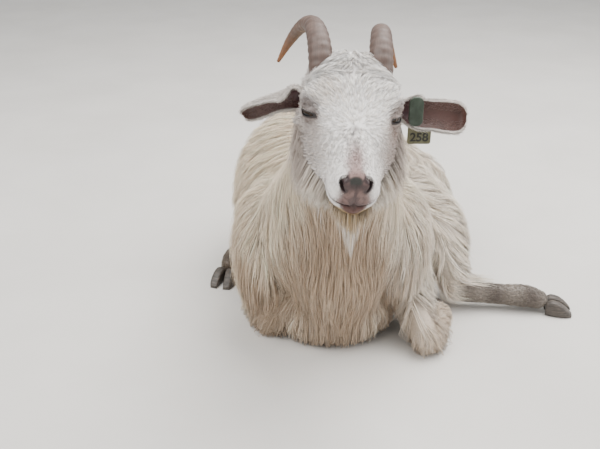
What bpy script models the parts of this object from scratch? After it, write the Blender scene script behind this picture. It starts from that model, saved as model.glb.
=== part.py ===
"""A Kiko goat, an adult doe with a long cream coat, lying on its brisket with its head up.

Metres, +Z up. The goat faces -Y, its left side is +X, and the floor is z = 0. The origin is on the
floor under the middle of the brisket. The flesh is made whole from lofts and muscle masses, its locks
are joined to it, and thin plane cuts part it into head, neck, torso, hindquarters and thighs.
"""

import math

import bmesh
import bpy
import numpy as np
from mathutils import Matrix, Vector
from mathutils.bvhtree import BVHTree

GAP = 0.0003

# The head's own frame: w to the goat's left, s along the head to the nose, h up from the eyes' line
HEAD_AT = (-0.0025, -0.341, 0.577)
HEAD_PITCH = math.radians(30.0)
HEAD_ROLL = math.radians(3.8)
HEAD_RINGS = 28
HEAD_SECTORS = 22
SECTOR_CROWDING = 0.70
HEAD_FRONT = 0.148
HEAD_FRONT_ROUNDING = 0.030
HEAD_BACK = -0.125
HEAD_BACK_ROUNDING = 0.030
# Station along the head, half width, top, underside, height of the widest line, which is the mouth's line
HEAD_STATIONS = (
    (-0.125, 0.054, 0.018, -0.075, -0.030),
    (-0.095, 0.061, 0.036, -0.092, -0.026),
    (-0.060, 0.068, 0.047, -0.100, -0.018),
    (-0.025, 0.0725, 0.048, -0.103, -0.008),
    (0.000, 0.0700, 0.041, -0.100, -0.008),
    (0.030, 0.0630, 0.033, -0.090, -0.014),
    (0.060, 0.0510, 0.0275, -0.077, -0.020),
    (0.090, 0.0410, 0.0260, -0.064, -0.023),
    (0.118, 0.0360, 0.0250, -0.058, -0.023),
    (0.148, 0.0335, 0.0200, -0.053, -0.023),
)
# Swellings and hollows of both sides of the head: w, s, h, reach, height
HEAD_MASSES = (
    (0.062, -0.014, 0.020, 0.017, 0.007),
    (0.070, 0.000, 0.000, 0.017, 0.005),
    (0.060, 0.032, -0.004, 0.018, -0.004),
    (0.062, -0.030, -0.055, 0.034, 0.005),
    (0.022, 0.134, 0.010, 0.012, 0.004),
    (0.026, 0.124, -0.012, 0.014, 0.003),
    (0.000, 0.138, -0.036, 0.014, 0.003),
)
MOUTH_CORNER = 0.088
MOUTH_DEPTH = 0.0035
MOUTH_HALF_WIDTH = 0.0016

EYE_RADIUS = 0.0140
EYE_AT = (0.0590, 0.001, 0.000)
EYE_AXIS = (0.68, 0.66, 0.26)
EYE_OPENING = (0.0125, 0.0045, 0.014)
EYE_SLANT = math.radians(-16.0)
EYE_FACETS = (12, 8)

NOSTRIL = (
    (0.0100, 0.140, 0.0135, 0.0018, 0.008),
    (0.0165, 0.140, 0.0155, 0.0034, 0.009),
    (0.0212, 0.138, 0.0095, 0.0036, 0.009),
    (0.0200, 0.137, 0.0015, 0.0020, 0.008),
)

# Lofts: centre, half width across, half height
TRUNK = (
    (-0.005, -0.105, 0.150, 0.075, 0.105),
    (-0.008, -0.060, 0.170, 0.120, 0.160),
    (-0.010, 0.010, 0.185, 0.150, 0.188),
    (-0.012, 0.090, 0.190, 0.176, 0.196),
    (-0.022, 0.180, 0.192, 0.196, 0.203),
    (-0.028, 0.270, 0.190, 0.196, 0.202),
    (-0.005, 0.345, 0.184, 0.174, 0.192),
    (0.045, 0.390, 0.172, 0.138, 0.172),
    (0.108, 0.402, 0.160, 0.112, 0.150),
    (0.165, 0.395, 0.148, 0.086, 0.120),
)
NECK = (
    (-0.003, -0.285, 0.550, 0.048, 0.052),
    (-0.005, -0.235, 0.485, 0.058, 0.068),
    (-0.010, -0.180, 0.410, 0.074, 0.088),
    (-0.015, -0.115, 0.325, 0.098, 0.118),
    (-0.015, -0.055, 0.240, 0.118, 0.145),
    (-0.010, 0.000, 0.170, 0.120, 0.140),
)
LEFT_SHANK = (
    (0.228, 0.200, 0.165, 0.060, 0.060),
    (0.242, 0.140, 0.150, 0.052, 0.058),
    (0.258, 0.090, 0.095, 0.040, 0.044),
    (0.268, 0.055, 0.055, 0.030, 0.034),
)
# Muscle masses: centre, half sizes, turn about Z in degrees
MASSES = (
    ((0.118, -0.010, 0.195), (0.062, 0.100, 0.140), 8.0),
    ((-0.142, 0.000, 0.175), (0.068, 0.105, 0.150), -8.0),
    ((0.188, 0.225, 0.140), (0.074, 0.135, 0.125), 8.0),
    ((-0.130, 0.290, 0.115), (0.088, 0.140, 0.118), -12.0),
    ((-0.012, -0.035, 0.060), (0.125, 0.095, 0.075), 0.0),
    ((-0.085, 0.230, 0.220), (0.127, 0.190, 0.155), 0.0),
)
COAT = 0.008
VOXEL = 0.010
SMOOTHING = 8
BODY_TRIANGLES = 1100

# A lock of hair: share of its length, and there the share of its half width and of its lift
LOCK_SHAPE = (
    (0.00, 0.70, -1.0),
    (0.36, 1.00, 0.55),
    (0.73, 0.72, 0.95),
)
LOCK_THICKNESS = 0.24
HANGING_THICKNESS = 0.60
LOCK_SINK = 0.010
LOCK_JITTER = 0.30
LOCK_SEED = 11
# Locks of the trunk and of the neck: spacing of the roots, length, half width, lift of the tip
TRUNK_LOCKS = (0.112, 0.185, 0.040, 0.012)
NECK_LOCKS = (0.083, 0.155, 0.031, 0.012)
LOCK_ROOTS_FROM = 0.060
LOCK_CLEARANCE = 0.004
# Locks of both sides of the head: root w, s, h, the way it lies, length, half width, lift
HEAD_LOCKS = (
    ((0.064, 0.026, -0.018), (0.20, -1.0, -0.55), 0.055, 0.012, 0.003),
    ((0.058, 0.050, -0.042), (0.25, -0.9, -0.45), 0.060, 0.012, 0.004),
    ((0.046, 0.082, -0.052), (0.25, -1.0, -0.40), 0.052, 0.010, 0.004),
    ((0.070, -0.012, -0.046), (0.10, -0.9, -0.70), 0.066, 0.014, 0.005),
    ((0.060, -0.030, -0.080), (0.10, -0.8, -0.80), 0.066, 0.014, 0.006),
    ((0.050, 0.024, -0.082), (0.10, -0.8, -0.60), 0.066, 0.013, 0.006),
    ((0.030, 0.062, -0.078), (0.10, -0.8, -0.60), 0.060, 0.012, 0.006),
    ((0.066, -0.048, 0.014), (0.05, -1.0, -0.15), 0.050, 0.011, 0.004),
    ((0.016, -0.098, 0.040), (0.10, 1.0, 0.10), 0.062, 0.010, 0.005),
)
POLL_LOCK = ((0.0, -0.100, 0.040), (0.0, 1.0, 0.10), 0.074, 0.011, 0.006)
# Locks that hang: root, tip, half width
BEARD_LOCKS = (
    ((0.000, -0.420, 0.472), (0.002, -0.432, 0.372), 0.0130),
    ((-0.016, -0.412, 0.468), (-0.012, -0.424, 0.398), 0.0110),
    ((0.015, -0.413, 0.468), (0.012, -0.424, 0.404), 0.0110),
)
TAIL_LOCKS = (
    ((0.262, 0.376, 0.205), (0.282, 0.366, 0.108), 0.020),
    ((0.243, 0.392, 0.212), (0.262, 0.392, 0.110), 0.019),
    ((0.262, 0.358, 0.205), (0.292, 0.344, 0.118), 0.018),
)

# Cuts between the nodes: a point of the plane, and its normal
HEAD_CUT = ((0.0, -0.242, 0.575), (0.0, -0.894, 0.447))
NECK_CUT = ((0.0, -0.110, 0.330), (0.0, -0.665, 0.747))
RUMP_CUT = ((0.0, 0.285, 0.200), (0.20, 0.98, 0.0))
# Boxes that hold the thighs: centre, half sizes, turn about Z in degrees
LEFT_THIGH_BOX = ((0.345, 0.100, 0.160), (0.160, 0.180, 0.200), 6.0)
RIGHT_THIGH_BOX = ((-0.345, 0.190, 0.120), (0.180, 0.130, 0.135), -6.0)

# Horns: centre and radius, from inside the skull to the tip
LEFT_HORN = (
    (0.0435, -0.296, 0.595, 0.0190),
    (0.0440, -0.280, 0.645, 0.0186),
    (0.0465, -0.245, 0.671, 0.0168),
    (0.0505, -0.200, 0.672, 0.0145),
    (0.0590, -0.155, 0.657, 0.0115),
    (0.0720, -0.125, 0.635, 0.0080),
    (0.0890, -0.110, 0.592, 0.0030),
)
RIGHT_HORN = (
    (-0.0465, -0.296, 0.600, 0.0190),
    (-0.0480, -0.280, 0.651, 0.0186),
    (-0.0530, -0.245, 0.679, 0.0168),
    (-0.0620, -0.195, 0.684, 0.0145),
    (-0.0780, -0.150, 0.668, 0.0115),
    (-0.0970, -0.118, 0.638, 0.0080),
    (-0.1170, -0.100, 0.600, 0.0030),
)
HORN_FLATTENING = 0.86
HORN_RINGS = 11
HORN_RING_DEPTH = 0.0009

# Ears: root, tip, the way the hollow faces
LEFT_EAR = ((0.066, -0.283, 0.566), (0.183, -0.275, 0.556), (0.05, -0.93, 0.30))
RIGHT_EAR = ((-0.066, -0.283, 0.584), (-0.168, -0.262, 0.556), (-0.10, 0.30, -0.95))
EAR_HALF_ARC = (0.020, 0.030, 0.0300, 0.0275, 0.0255, 0.0225, 0.0110)
EAR_ROLL = (2.3, 1.6, 0.95, 0.75, 0.60, 0.50, 0.40)
EAR_THICKNESS = 0.0040
EAR_ROWS = 10
EAR_COLUMNS = 9

# Folded legs: centre, half width across, half height
LEFT_FOREARM = (
    (0.150, 0.010, 0.110, 0.046, 0.050),
    (0.160, -0.040, 0.085, 0.038, 0.042),
    (0.170, -0.090, 0.055, 0.030, 0.034),
    (0.178, -0.128, 0.034, 0.028, 0.031),
    (0.182, -0.142, 0.030, 0.020, 0.022),
)
LEFT_FORE_CANNON = (
    (0.196, -0.128, 0.026, 0.020, 0.024),
    (0.211, -0.098, 0.022, 0.017, 0.020),
    (0.222, -0.064, 0.024, 0.017, 0.020),
    (0.228, -0.035, 0.028, 0.020, 0.024),
    (0.222, -0.008, 0.024, 0.016, 0.020),
)
RIGHT_FOREARM = (
    (-0.150, 0.075, 0.110, 0.046, 0.050),
    (-0.146, 0.035, 0.085, 0.038, 0.042),
    (-0.136, -0.015, 0.055, 0.030, 0.034),
    (-0.128, -0.053, 0.034, 0.028, 0.031),
    (-0.126, -0.067, 0.030, 0.020, 0.022),
)
RIGHT_FORE_CANNON = (
    (-0.148, -0.055, 0.026, 0.020, 0.024),
    (-0.162, -0.030, 0.022, 0.017, 0.020),
    (-0.174, -0.004, 0.024, 0.017, 0.020),
    (-0.182, 0.018, 0.028, 0.020, 0.024),
    (-0.184, 0.040, 0.024, 0.016, 0.020),
)
LEFT_HIND_CANNON = (
    (0.268, 0.052, 0.046, 0.026, 0.030),
    (0.315, 0.048, 0.040, 0.022, 0.026),
    (0.370, 0.044, 0.035, 0.020, 0.024),
    (0.425, 0.038, 0.034, 0.023, 0.026),
    (0.462, 0.032, 0.027, 0.019, 0.021),
)
RIGHT_HIND_CANNON = (
    (-0.150, 0.355, 0.036, 0.026, 0.030),
    (-0.190, 0.318, 0.031, 0.021, 0.024),
    (-0.224, 0.270, 0.028, 0.020, 0.023),
    (-0.245, 0.222, 0.030, 0.023, 0.026),
    (-0.253, 0.190, 0.025, 0.019, 0.021),
)
HOOF_LENGTH = 0.056
HOOF_HALF_WIDTH = 0.0125
HOOF_HEIGHT = 0.034
HOOF_START = 0.012
# Share of a claw's length, and there the share of its half width and of its height
HOOF_PROFILE = (
    (0.00, 0.75, 0.86),
    (0.25, 0.98, 1.00),
    (0.55, 1.00, 0.86),
    (0.80, 0.82, 0.56),
    (1.00, 0.38, 0.22),
)
CLAW_SPLAY = math.radians(7.0)

LEGS = (
    ("foreleg_left", LEFT_FOREARM, LEFT_FORE_CANNON),
    ("foreleg_right", RIGHT_FOREARM, RIGHT_FORE_CANNON),
    ("hindleg_left", None, LEFT_HIND_CANNON),
    ("hindleg_right", None, RIGHT_HIND_CANNON),
)

TAIL = (
    (0.205, 0.392, 0.215, 0.028, 0.024),
    (0.236, 0.386, 0.218, 0.030, 0.020),
    (0.262, 0.374, 0.200, 0.028, 0.016),
    (0.280, 0.364, 0.172, 0.018, 0.010),
    (0.288, 0.360, 0.150, 0.006, 0.004),
)

TAG_BUTTON_AT = (0.0990, -0.3030, 0.5715)
TAG_BUTTON_SIZE = (0.0110, 0.0030, 0.0230)
TAG_FLAG_SIZE = (0.0190, 0.0012, 0.0265)
TAG_FLAG_AT = (0.1140, -0.2560, 0.5290)

COLOURS = {
    "coat": (0.80, 0.74, 0.63, 1.0),
    "face": (0.78, 0.75, 0.71, 1.0),
    "leg": (0.55, 0.47, 0.40, 1.0),
    "ear": (0.60, 0.48, 0.42, 1.0),
    "horn": (0.33, 0.26, 0.22, 1.0),
    "hoof": (0.07, 0.06, 0.055, 1.0),
    "eye": (0.05, 0.035, 0.02, 1.0),
    "tag": (0.05, 0.11, 0.07, 1.0),
    "flag": (0.30, 0.32, 0.16, 1.0),
}
ROUGHNESS = {"horn": 0.5, "hoof": 0.45, "eye": 0.08, "tag": 0.4, "flag": 0.45}


def clear_scene():
    for obj in list(bpy.data.objects):
        bpy.data.objects.remove(obj, do_unlink=True)


def new_collection(name):
    collection = bpy.data.collections.new(name)
    bpy.context.scene.collection.children.link(collection)
    return collection


def unit(vectors):
    vectors = np.asarray(vectors, float)
    return vectors / np.linalg.norm(vectors, axis=-1, keepdims=True)


def material(kind):
    found = bpy.data.materials.get(kind)
    if found:
        return found
    made = bpy.data.materials.new(kind)
    made.use_nodes = True
    shader = made.node_tree.nodes["Principled BSDF"]
    shader.inputs["Base Color"].default_value = COLOURS[kind]
    shader.inputs["Roughness"].default_value = ROUGHNESS.get(kind, 0.9)
    shader.inputs["Metallic"].default_value = 0.0
    return made


def mesh_object(name, points, faces, collection=None):
    """An object of this mesh with its faces turned outwards."""
    mesh = bpy.data.meshes.new(name)
    mesh.from_pydata([tuple(p) for p in points], [], faces)
    shape = bmesh.new()
    shape.from_mesh(mesh)
    bmesh.ops.recalc_face_normals(shape, faces=shape.faces)
    shape.to_mesh(mesh)
    shape.free()
    obj = bpy.data.objects.new(name, mesh)
    (collection or scratch).objects.link(obj)
    return obj


def smooth_rows(rows, steps):
    """Rows read from a smooth curve through the given rows, with this many steps between two of them."""
    rows = np.array(rows, float)
    padded = np.vstack([2 * rows[0] - rows[1], rows, 2 * rows[-1] - rows[-2]])
    found = []
    for a, b, c, d in zip(padded, padded[1:], padded[2:], padded[3:]):
        for t in np.arange(steps) / steps:
            bend = (2 * a - 5 * b + 4 * c - d) * t**2 + (3 * b - a - 3 * c + d) * t**3
            found.append(0.5 * (2 * b + (c - a) * t + bend))
    found.append(rows[-1])
    return np.array(found)


def tube_faces(rings, sides):
    """Triangles between closed rings, with a fan to a pole at each end: the poles come after the rings."""
    first, last = rings * sides, rings * sides + 1
    faces = []
    for ring in range(rings - 1):
        for side in range(sides):
            after = (side + 1) % sides
            low, high = ring * sides, (ring + 1) * sides
            faces.append((low + side, low + after, high + after))
            faces.append((low + side, high + after, high + side))
    for side in range(sides):
        after = (side + 1) % sides
        faces.append((first, after, side))
        end = (rings - 1) * sides
        faces.append((last, end + side, end + after))
    return faces


def loft(name, stations, sides=12, steps=3, up=(0, 0, 1), dome=0.8, grow=0.0, square=2.0):
    """A closed body of oval rings along a smooth path through stations, with a dome on each end."""
    rows = smooth_rows(stations, steps)
    if rows.shape[1] == 4:
        rows = np.column_stack([rows, rows[:, 3]])
    rows[:, 3:5] += grow
    tangents = unit(np.gradient(rows[:, :3], axis=0))
    for end, way in ((0, -1.0), (-1, 1.0)):
        reach = dome * rows[end, 3:5].min()
        cap = []
        for turn in (0.42, 0.84, 1.2):
            ring = rows[end].copy()
            ring[:3] += way * tangents[end] * reach * math.sin(turn)
            ring[3:5] *= math.cos(turn)
            cap.append(ring)
        direction = np.repeat(tangents[end][None], len(cap), axis=0)
        if end == 0:
            rows = np.vstack([cap[::-1], rows])
            tangents = np.vstack([direction, tangents])
        else:
            rows = np.vstack([rows, cap])
            tangents = np.vstack([tangents, direction])
    across = unit(np.cross(tangents, up))
    upward = np.cross(across, tangents)
    angles = np.arange(sides) * 2 * math.pi / sides
    cosine, sine = np.cos(angles), np.sin(angles)
    cosine = np.sign(cosine) * np.abs(cosine) ** (2 / square)
    sine = np.sign(sine) * np.abs(sine) ** (2 / square)
    rings = rows[:, None, :3] + across[:, None] * (rows[:, 3, None] * cosine)[..., None]
    rings = rings + upward[:, None] * (rows[:, 4, None] * sine)[..., None]
    poles = [rows[0, :3] - tangents[0] * rows[0, 3] * 0.15]
    poles.append(rows[-1, :3] + tangents[-1] * rows[-1, 3] * 0.15)
    points = np.vstack([rings.reshape(-1, 3), poles])
    return mesh_object(name, points, tube_faces(len(rows), sides))


def ellipsoid(name, centre, radii, turn=Matrix.Identity(3), segments=16, rings=10):
    shape = bmesh.new()
    bmesh.ops.create_uvsphere(shape, u_segments=segments, v_segments=rings, radius=1.0)
    place = Matrix.Translation(Vector(centre)) @ turn.to_4x4() @ Matrix.Diagonal((*radii, 1.0))
    bmesh.ops.transform(shape, matrix=place, verts=shape.verts)
    mesh = bpy.data.meshes.new(name)
    shape.to_mesh(mesh)
    shape.free()
    obj = bpy.data.objects.new(name, mesh)
    scratch.objects.link(obj)
    return obj


def block(name, centre, half_sizes, degrees=0.0, grow=0.0):
    """A box turned about Z, grown by this much on each side."""
    shape = bmesh.new()
    bmesh.ops.create_cube(shape, size=2.0)
    scale = Matrix.Diagonal((*(h + grow for h in half_sizes), 1.0))
    place = Matrix.Translation(Vector(centre)) @ Matrix.Rotation(math.radians(degrees), 4, "Z") @ scale
    bmesh.ops.transform(shape, matrix=place, verts=shape.verts)
    mesh = bpy.data.meshes.new(name)
    shape.to_mesh(mesh)
    shape.free()
    obj = bpy.data.objects.new(name, mesh)
    scratch.objects.link(obj)
    return obj


def half_space(name, plane, side, size=1.5):
    """A large box that fills one side of a plane, from half a gap beyond it."""
    point, normal = Vector(plane[0]), Vector(plane[1]).normalized() * side
    turn = normal.to_track_quat("Z", "Y").to_matrix().to_4x4()
    shape = bmesh.new()
    bmesh.ops.create_cube(shape, size=2 * size)
    place = Matrix.Translation(point + normal * (size + GAP / 2)) @ turn
    bmesh.ops.transform(shape, matrix=place, verts=shape.verts)
    mesh = bpy.data.meshes.new(name)
    shape.to_mesh(mesh)
    shape.free()
    obj = bpy.data.objects.new(name, mesh)
    scratch.objects.link(obj)
    return obj


def settle(obj):
    """Replace an object's mesh with what its modifiers make of it."""
    bpy.context.view_layer.update()
    graph = bpy.context.evaluated_depsgraph_get()
    made = bpy.data.meshes.new_from_object(obj.evaluated_get(graph))
    obj.modifiers.clear()
    obj.data = made
    return obj


def boolean(obj, other, operation, solver="MANIFOLD"):
    """Cut or keep part of an object with another object, or with a collection of them."""
    modifier = obj.modifiers.new(operation, "BOOLEAN")
    modifier.operation = operation
    modifier.solver = solver
    if isinstance(other, bpy.types.Collection):
        modifier.operand_type = "COLLECTION"
        modifier.collection = other
    else:
        modifier.object = other
    return settle(obj)


def cut(obj, *tools):
    for tool in tools:
        boolean(obj, tool, "DIFFERENCE")
    return obj


def keep(obj, *cells):
    for cell in cells:
        boolean(obj, cell, "INTERSECT")
    return obj


def copy_of(obj, name):
    made = bpy.data.objects.new(name, obj.data.copy())
    scratch.objects.link(made)
    return made


def keep_largest(obj):
    """Keep an object's largest closed surface."""
    shape = bmesh.new()
    shape.from_mesh(obj.data)
    bmesh.ops.triangulate(shape, faces=shape.faces)
    left = set(shape.faces)
    shells = []
    while left:
        queue = [left.pop()]
        shell = set(queue)
        while queue:
            face = queue.pop()
            for edge in face.edges:
                for near in edge.link_faces:
                    if near in left:
                        left.discard(near)
                        shell.add(near)
                        queue.append(near)
        volume = 0.0
        for face in shell:
            a, b, c = (v.co for v in face.verts)
            volume += a.dot(b.cross(c)) / 6
        shells.append((abs(volume), len(shells), shell))
    shells.sort(key=lambda row: row[0])
    for _, _, shell in shells[:-1]:
        bmesh.ops.delete(shape, geom=list(shell), context="FACES")
    loose = [v for v in shape.verts if not v.link_faces]
    bmesh.ops.delete(shape, geom=loose, context="VERTS")
    shape.to_mesh(obj.data)
    shape.free()
    return obj


def finish(obj, name, kind, smooth_degrees=50.0):
    """Name a node, give it its material and put it in the goat's collection."""
    keep_largest(obj)
    obj.name = name
    obj.data.name = name
    obj.data.materials.clear()
    obj.data.materials.append(material(kind))
    obj.data.shade_smooth()
    obj.data.set_sharp_from_angle(angle=math.radians(smooth_degrees))
    for collection in list(obj.users_collection):
        collection.objects.unlink(obj)
    goat.objects.link(obj)
    return obj


def head_matrix():
    """The head frame's axes and place, as rows w, s, h and the origin."""
    forward = np.array([0.0, -math.cos(HEAD_PITCH), -math.sin(HEAD_PITCH)])
    upward = np.array([0.0, -math.sin(HEAD_PITCH), math.cos(HEAD_PITCH)])
    across = np.array([1.0, 0.0, 0.0])
    left = across * math.cos(HEAD_ROLL) - upward * math.sin(HEAD_ROLL)
    top = upward * math.cos(HEAD_ROLL) + across * math.sin(HEAD_ROLL)
    return np.array([left, forward, top]), np.array(HEAD_AT)


def head_point(local):
    axes, origin = head_matrix()
    return origin + np.asarray(local, float) @ axes


def head_direction(local):
    return unit(np.asarray(local, float) @ head_matrix()[0])


def head_grid(rings=HEAD_RINGS, sectors=HEAD_SECTORS, grow=0.0):
    """Points of the head's skin in its own frame, as rings from the poll to the nose."""
    span = np.linspace(0.0, 1.0, rings)
    lower, upper = HEAD_BACK, HEAD_FRONT
    s = lower + (upper - lower) * (span - 0.10 * np.sin(2 * math.pi * span) / math.pi)
    s[-1] -= 0.0002
    s[0] += 0.0002
    table = smooth_rows(HEAD_STATIONS, 6)
    width, top, under, side = (np.interp(s, table[:, 0], table[:, k]) for k in range(1, 5))
    front = np.clip((s - (HEAD_FRONT - HEAD_FRONT_ROUNDING)) / HEAD_FRONT_ROUNDING, 0, 1)
    back = np.clip((HEAD_BACK + HEAD_BACK_ROUNDING - s) / HEAD_BACK_ROUNDING, 0, 1)
    closing = (1 - front**2.6) ** (1 / 2.4) * (1 - back**2.4) ** (1 / 2.4)
    turn = np.arange(sectors) * 2 * math.pi / sectors
    turn = turn - SECTOR_CROWDING * np.sin(2 * turn) / 2
    cosine, sine = np.cos(turn), np.sin(turn)
    squareness = np.interp(s, (-0.10, -0.03, 0.03, 0.09), (0.85, 0.74, 0.80, 0.90))[:, None]
    round_cosine = np.sign(cosine) * np.abs(cosine) ** squareness
    height = np.where(sine > 0, (top - side)[:, None], (side - under)[:, None]) * sine
    narrowing = 1 - 0.16 * np.clip(-sine, 0, 1) ** 2
    w = (width * closing)[:, None] * round_cosine * narrowing
    h = side[:, None] + closing[:, None] * height
    s = s[:, None] + np.zeros_like(w)
    grid = np.stack([w, s, h], axis=-1)
    along = np.gradient(grid, axis=0)
    around = np.roll(grid, -1, axis=1) - np.roll(grid, 1, axis=1)
    normal = np.cross(around, along)
    normal = normal / (np.linalg.norm(normal, axis=-1, keepdims=True) + 1e-12)
    outward = np.sign(np.sum(normal * (grid - [0.0, 0.02, -0.025]), axis=-1, keepdims=True))
    normal = normal * outward
    rise = np.zeros(grid.shape[:2])
    for mass_w, mass_s, mass_h, reach, amount in HEAD_MASSES:
        away = (np.abs(grid[..., 0]) - mass_w) ** 2 + (grid[..., 1] - mass_s) ** 2
        away = away + (grid[..., 2] - mass_h) ** 2
        rise += amount * np.exp(-away / (2 * (reach * 0.6) ** 2))
    lips = np.clip((grid[..., 1] - MOUTH_CORNER) / 0.010, 0, 1)
    off_line = grid[..., 2] - side[:, None]
    rise -= MOUTH_DEPTH * lips * np.exp(-((off_line / MOUTH_HALF_WIDTH) ** 2))
    rise += 0.0014 * lips * np.exp(-(((np.abs(off_line) - 0.0050) / 0.0032) ** 2))
    return grid + normal * (rise + grow)[..., None]


def head_loft(name, grow=0.0):
    grid = head_grid(grow=grow)
    ends = np.array([[0.0, HEAD_BACK - grow, -0.030], [0.0, HEAD_FRONT - 0.003 + grow, -0.023]])
    points = head_point(np.vstack([grid.reshape(-1, 3), ends]))
    return mesh_object(name, points, tube_faces(HEAD_RINGS, HEAD_SECTORS))


def side_point(at, side):
    return head_point((at[0] * side, at[1], at[2]))


def eye_turn(side):
    """A rotation whose Z points out of the eye and whose X runs along the lids to the inner corner."""
    axis = Vector(head_direction((EYE_AXIS[0] * side, EYE_AXIS[1], EYE_AXIS[2])))
    along = Vector(head_direction((-0.45 * side, 0.90, 0.0)))
    along = (along - along.dot(axis) * axis).normalized()
    across = axis.cross(along)
    turn = Matrix((along, across, axis)).transposed()
    return turn @ Matrix.Rotation(EYE_SLANT * side, 3, "Z")


def make_eyes():
    for label, side in (("left", 1), ("right", -1)):
        centre, turn = side_point(EYE_AT, side), eye_turn(side)
        eye = ellipsoid("eye_ball", centre, (EYE_RADIUS,) * 3, turn, *EYE_FACETS)
        finish(eye, f"eye_{label}", "eye")


def cut_face(head):
    """Open the eye sockets with their lids, and the nostrils."""
    for side in (1, -1):
        centre = side_point(EYE_AT, side)
        turn = eye_turn(side)
        socket = ellipsoid("socket", centre, (EYE_RADIUS + GAP,) * 3, turn, *EYE_FACETS)
        outer = Vector(centre) + turn.col[2] * EYE_RADIUS
        opening = ellipsoid("opening", outer, EYE_OPENING, turn, 12, 6)
        stations = [(*head_point((row[0] * side, row[1], row[2])), row[3], row[4]) for row in NOSTRIL]
        nostril = loft("nostril", stations, sides=6, steps=2, up=head_direction((0, 1, 0)))
        cut(head, socket, opening, nostril)


def make_horn(label, stations, grow=0.0):
    """A horn of oval section with growth rings, from inside the skull to the tip."""
    rows = smooth_rows(stations, 3)
    span = np.linspace(0, 1, len(rows))
    ripple = 1 + HORN_RING_DEPTH / 0.018 * np.sin(span * HORN_RINGS * 2 * math.pi) * (1 - span)
    radius = rows[:, 3] * ripple
    shaped = np.column_stack([rows[:, :3], radius * HORN_FLATTENING, radius])
    return loft(f"horn_{label}", shaped, sides=10, steps=1, up=(1, 0, 0), grow=grow)


def ear_sheet(root, tip, opening, thickness):
    """Points of both faces of an ear, a leaf rolled into a cup at its root."""
    root, tip = np.array(root), np.array(tip)
    axis = unit(tip - root)
    opening = np.array(opening)
    opening = unit(opening - opening.dot(axis) * axis)
    across = np.cross(axis, opening)
    stations = np.linspace(0, 1, len(EAR_HALF_ARC))
    u = np.linspace(0, 1, EAR_ROWS)
    table = smooth_rows(np.column_stack([stations, EAR_HALF_ARC, EAR_ROLL]), 4)
    half_arc = np.interp(u, table[:, 0], table[:, 1])
    roll = np.interp(u, table[:, 0], table[:, 2])
    v = np.linspace(-1, 1, EAR_COLUMNS)
    faces = []
    for offset in (thickness / 2, -thickness / 2):
        radius = (half_arc / roll)[:, None]
        angle = roll[:, None] * v
        reach = radius + offset
        x = reach * np.sin(angle)
        z = radius - reach * np.cos(angle)
        droop = 0.006 * (u[:, None] ** 2)
        place = root + axis * (np.linalg.norm(tip - root) * u)[:, None, None]
        place = place + across * x[..., None] + opening * (z - 0.5 * radius * 0.6)[..., None]
        faces.append(place - np.array([0, 0, 1.0]) * droop[..., None])
    return faces


def make_ear(label, sizes, thickness=EAR_THICKNESS):
    outer, inner = ear_sheet(*sizes, thickness)
    rows, columns = outer.shape[:2]
    count = rows * columns
    points = np.vstack([outer.reshape(-1, 3), inner.reshape(-1, 3)])
    faces = []
    for r in range(rows - 1):
        for c in range(columns - 1):
            a, b = r * columns + c, r * columns + c + 1
            d, e = a + columns, b + columns
            faces += [(a, b, e), (a, e, d)]
            faces += [(a + count, e + count, b + count), (a + count, d + count, e + count)]
    for r in range(rows - 1):
        for c in (0, columns - 1):
            a, d = r * columns + c, (r + 1) * columns + c
            faces.append((a, d, d + count, a + count))
    for r in (0, rows - 1):
        for c in range(columns - 1):
            a, b = r * columns + c, r * columns + c + 1
            faces.append((a, b, b + count, a + count))
    return mesh_object(f"ear_{label}", points, faces)


def lock_mesh(name, centres, outwards, tip, half_width, thickness=LOCK_THICKNESS, grow=0.0):
    """A flat tapered lock of diamond sections along a path, grown by this much on each side."""
    centres = np.array(centres)
    way = unit(np.gradient(np.vstack([centres, tip]), axis=0))[:-1]
    across = unit(np.cross(outwards, way))
    outwards = np.cross(way, across)
    points = []
    for centre, side, out, (_, width, _) in zip(centres, across, outwards, LOCK_SHAPE):
        reach = side * (half_width * width + grow)
        depth = out * (half_width * width * thickness + grow)
        points += [centre - reach, centre + depth, centre + reach, centre - depth]
    points += [centres[0] - way[0] * (half_width * 0.3 + grow), np.array(tip) + way[-1] * 8 * grow]
    return mesh_object(name, points, tube_faces(len(LOCK_SHAPE), 4), locks)


def lying_lock(tree, root, flow, length, half_width, lift, chance):
    """A lock that follows the skin from its sunk root and lifts off it towards its tip."""
    length *= 1 + LOCK_JITTER * chance.uniform(-0.5, 0.5)
    half_width *= 1 + LOCK_JITTER * chance.uniform(-0.5, 0.5)
    lift *= 1 + LOCK_JITTER * chance.uniform(-1.0, 1.0)
    swing = LOCK_JITTER * chance.uniform(-1.0, 1.0)
    curl = LOCK_JITTER * chance.uniform(-1.0, 1.0)
    point, normal, _, _ = tree.find_nearest(Vector(root))
    shares = [row[0] for row in LOCK_SHAPE] + [1.0]
    centres, outwards = [], []
    for index, share in enumerate(shares):
        if index:
            way = flow(point, normal)
            way = (way + normal.cross(way) * (swing + curl * share)).normalized()
            step = (share - shares[index - 1]) * length
            point, normal, _, _ = tree.find_nearest(point + way * step)
        rise = lift * 1.25 if share == 1.0 else LOCK_SHAPE[index][2] * lift
        centre = point + normal * (rise if index else -LOCK_SINK)
        centre.z = max(centre.z, LOCK_CLEARANCE)
        centres.append(centre)
        outwards.append(normal)
    lock_mesh("lock", centres[:-1], np.array(outwards[:-1]), centres[-1], half_width)


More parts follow.
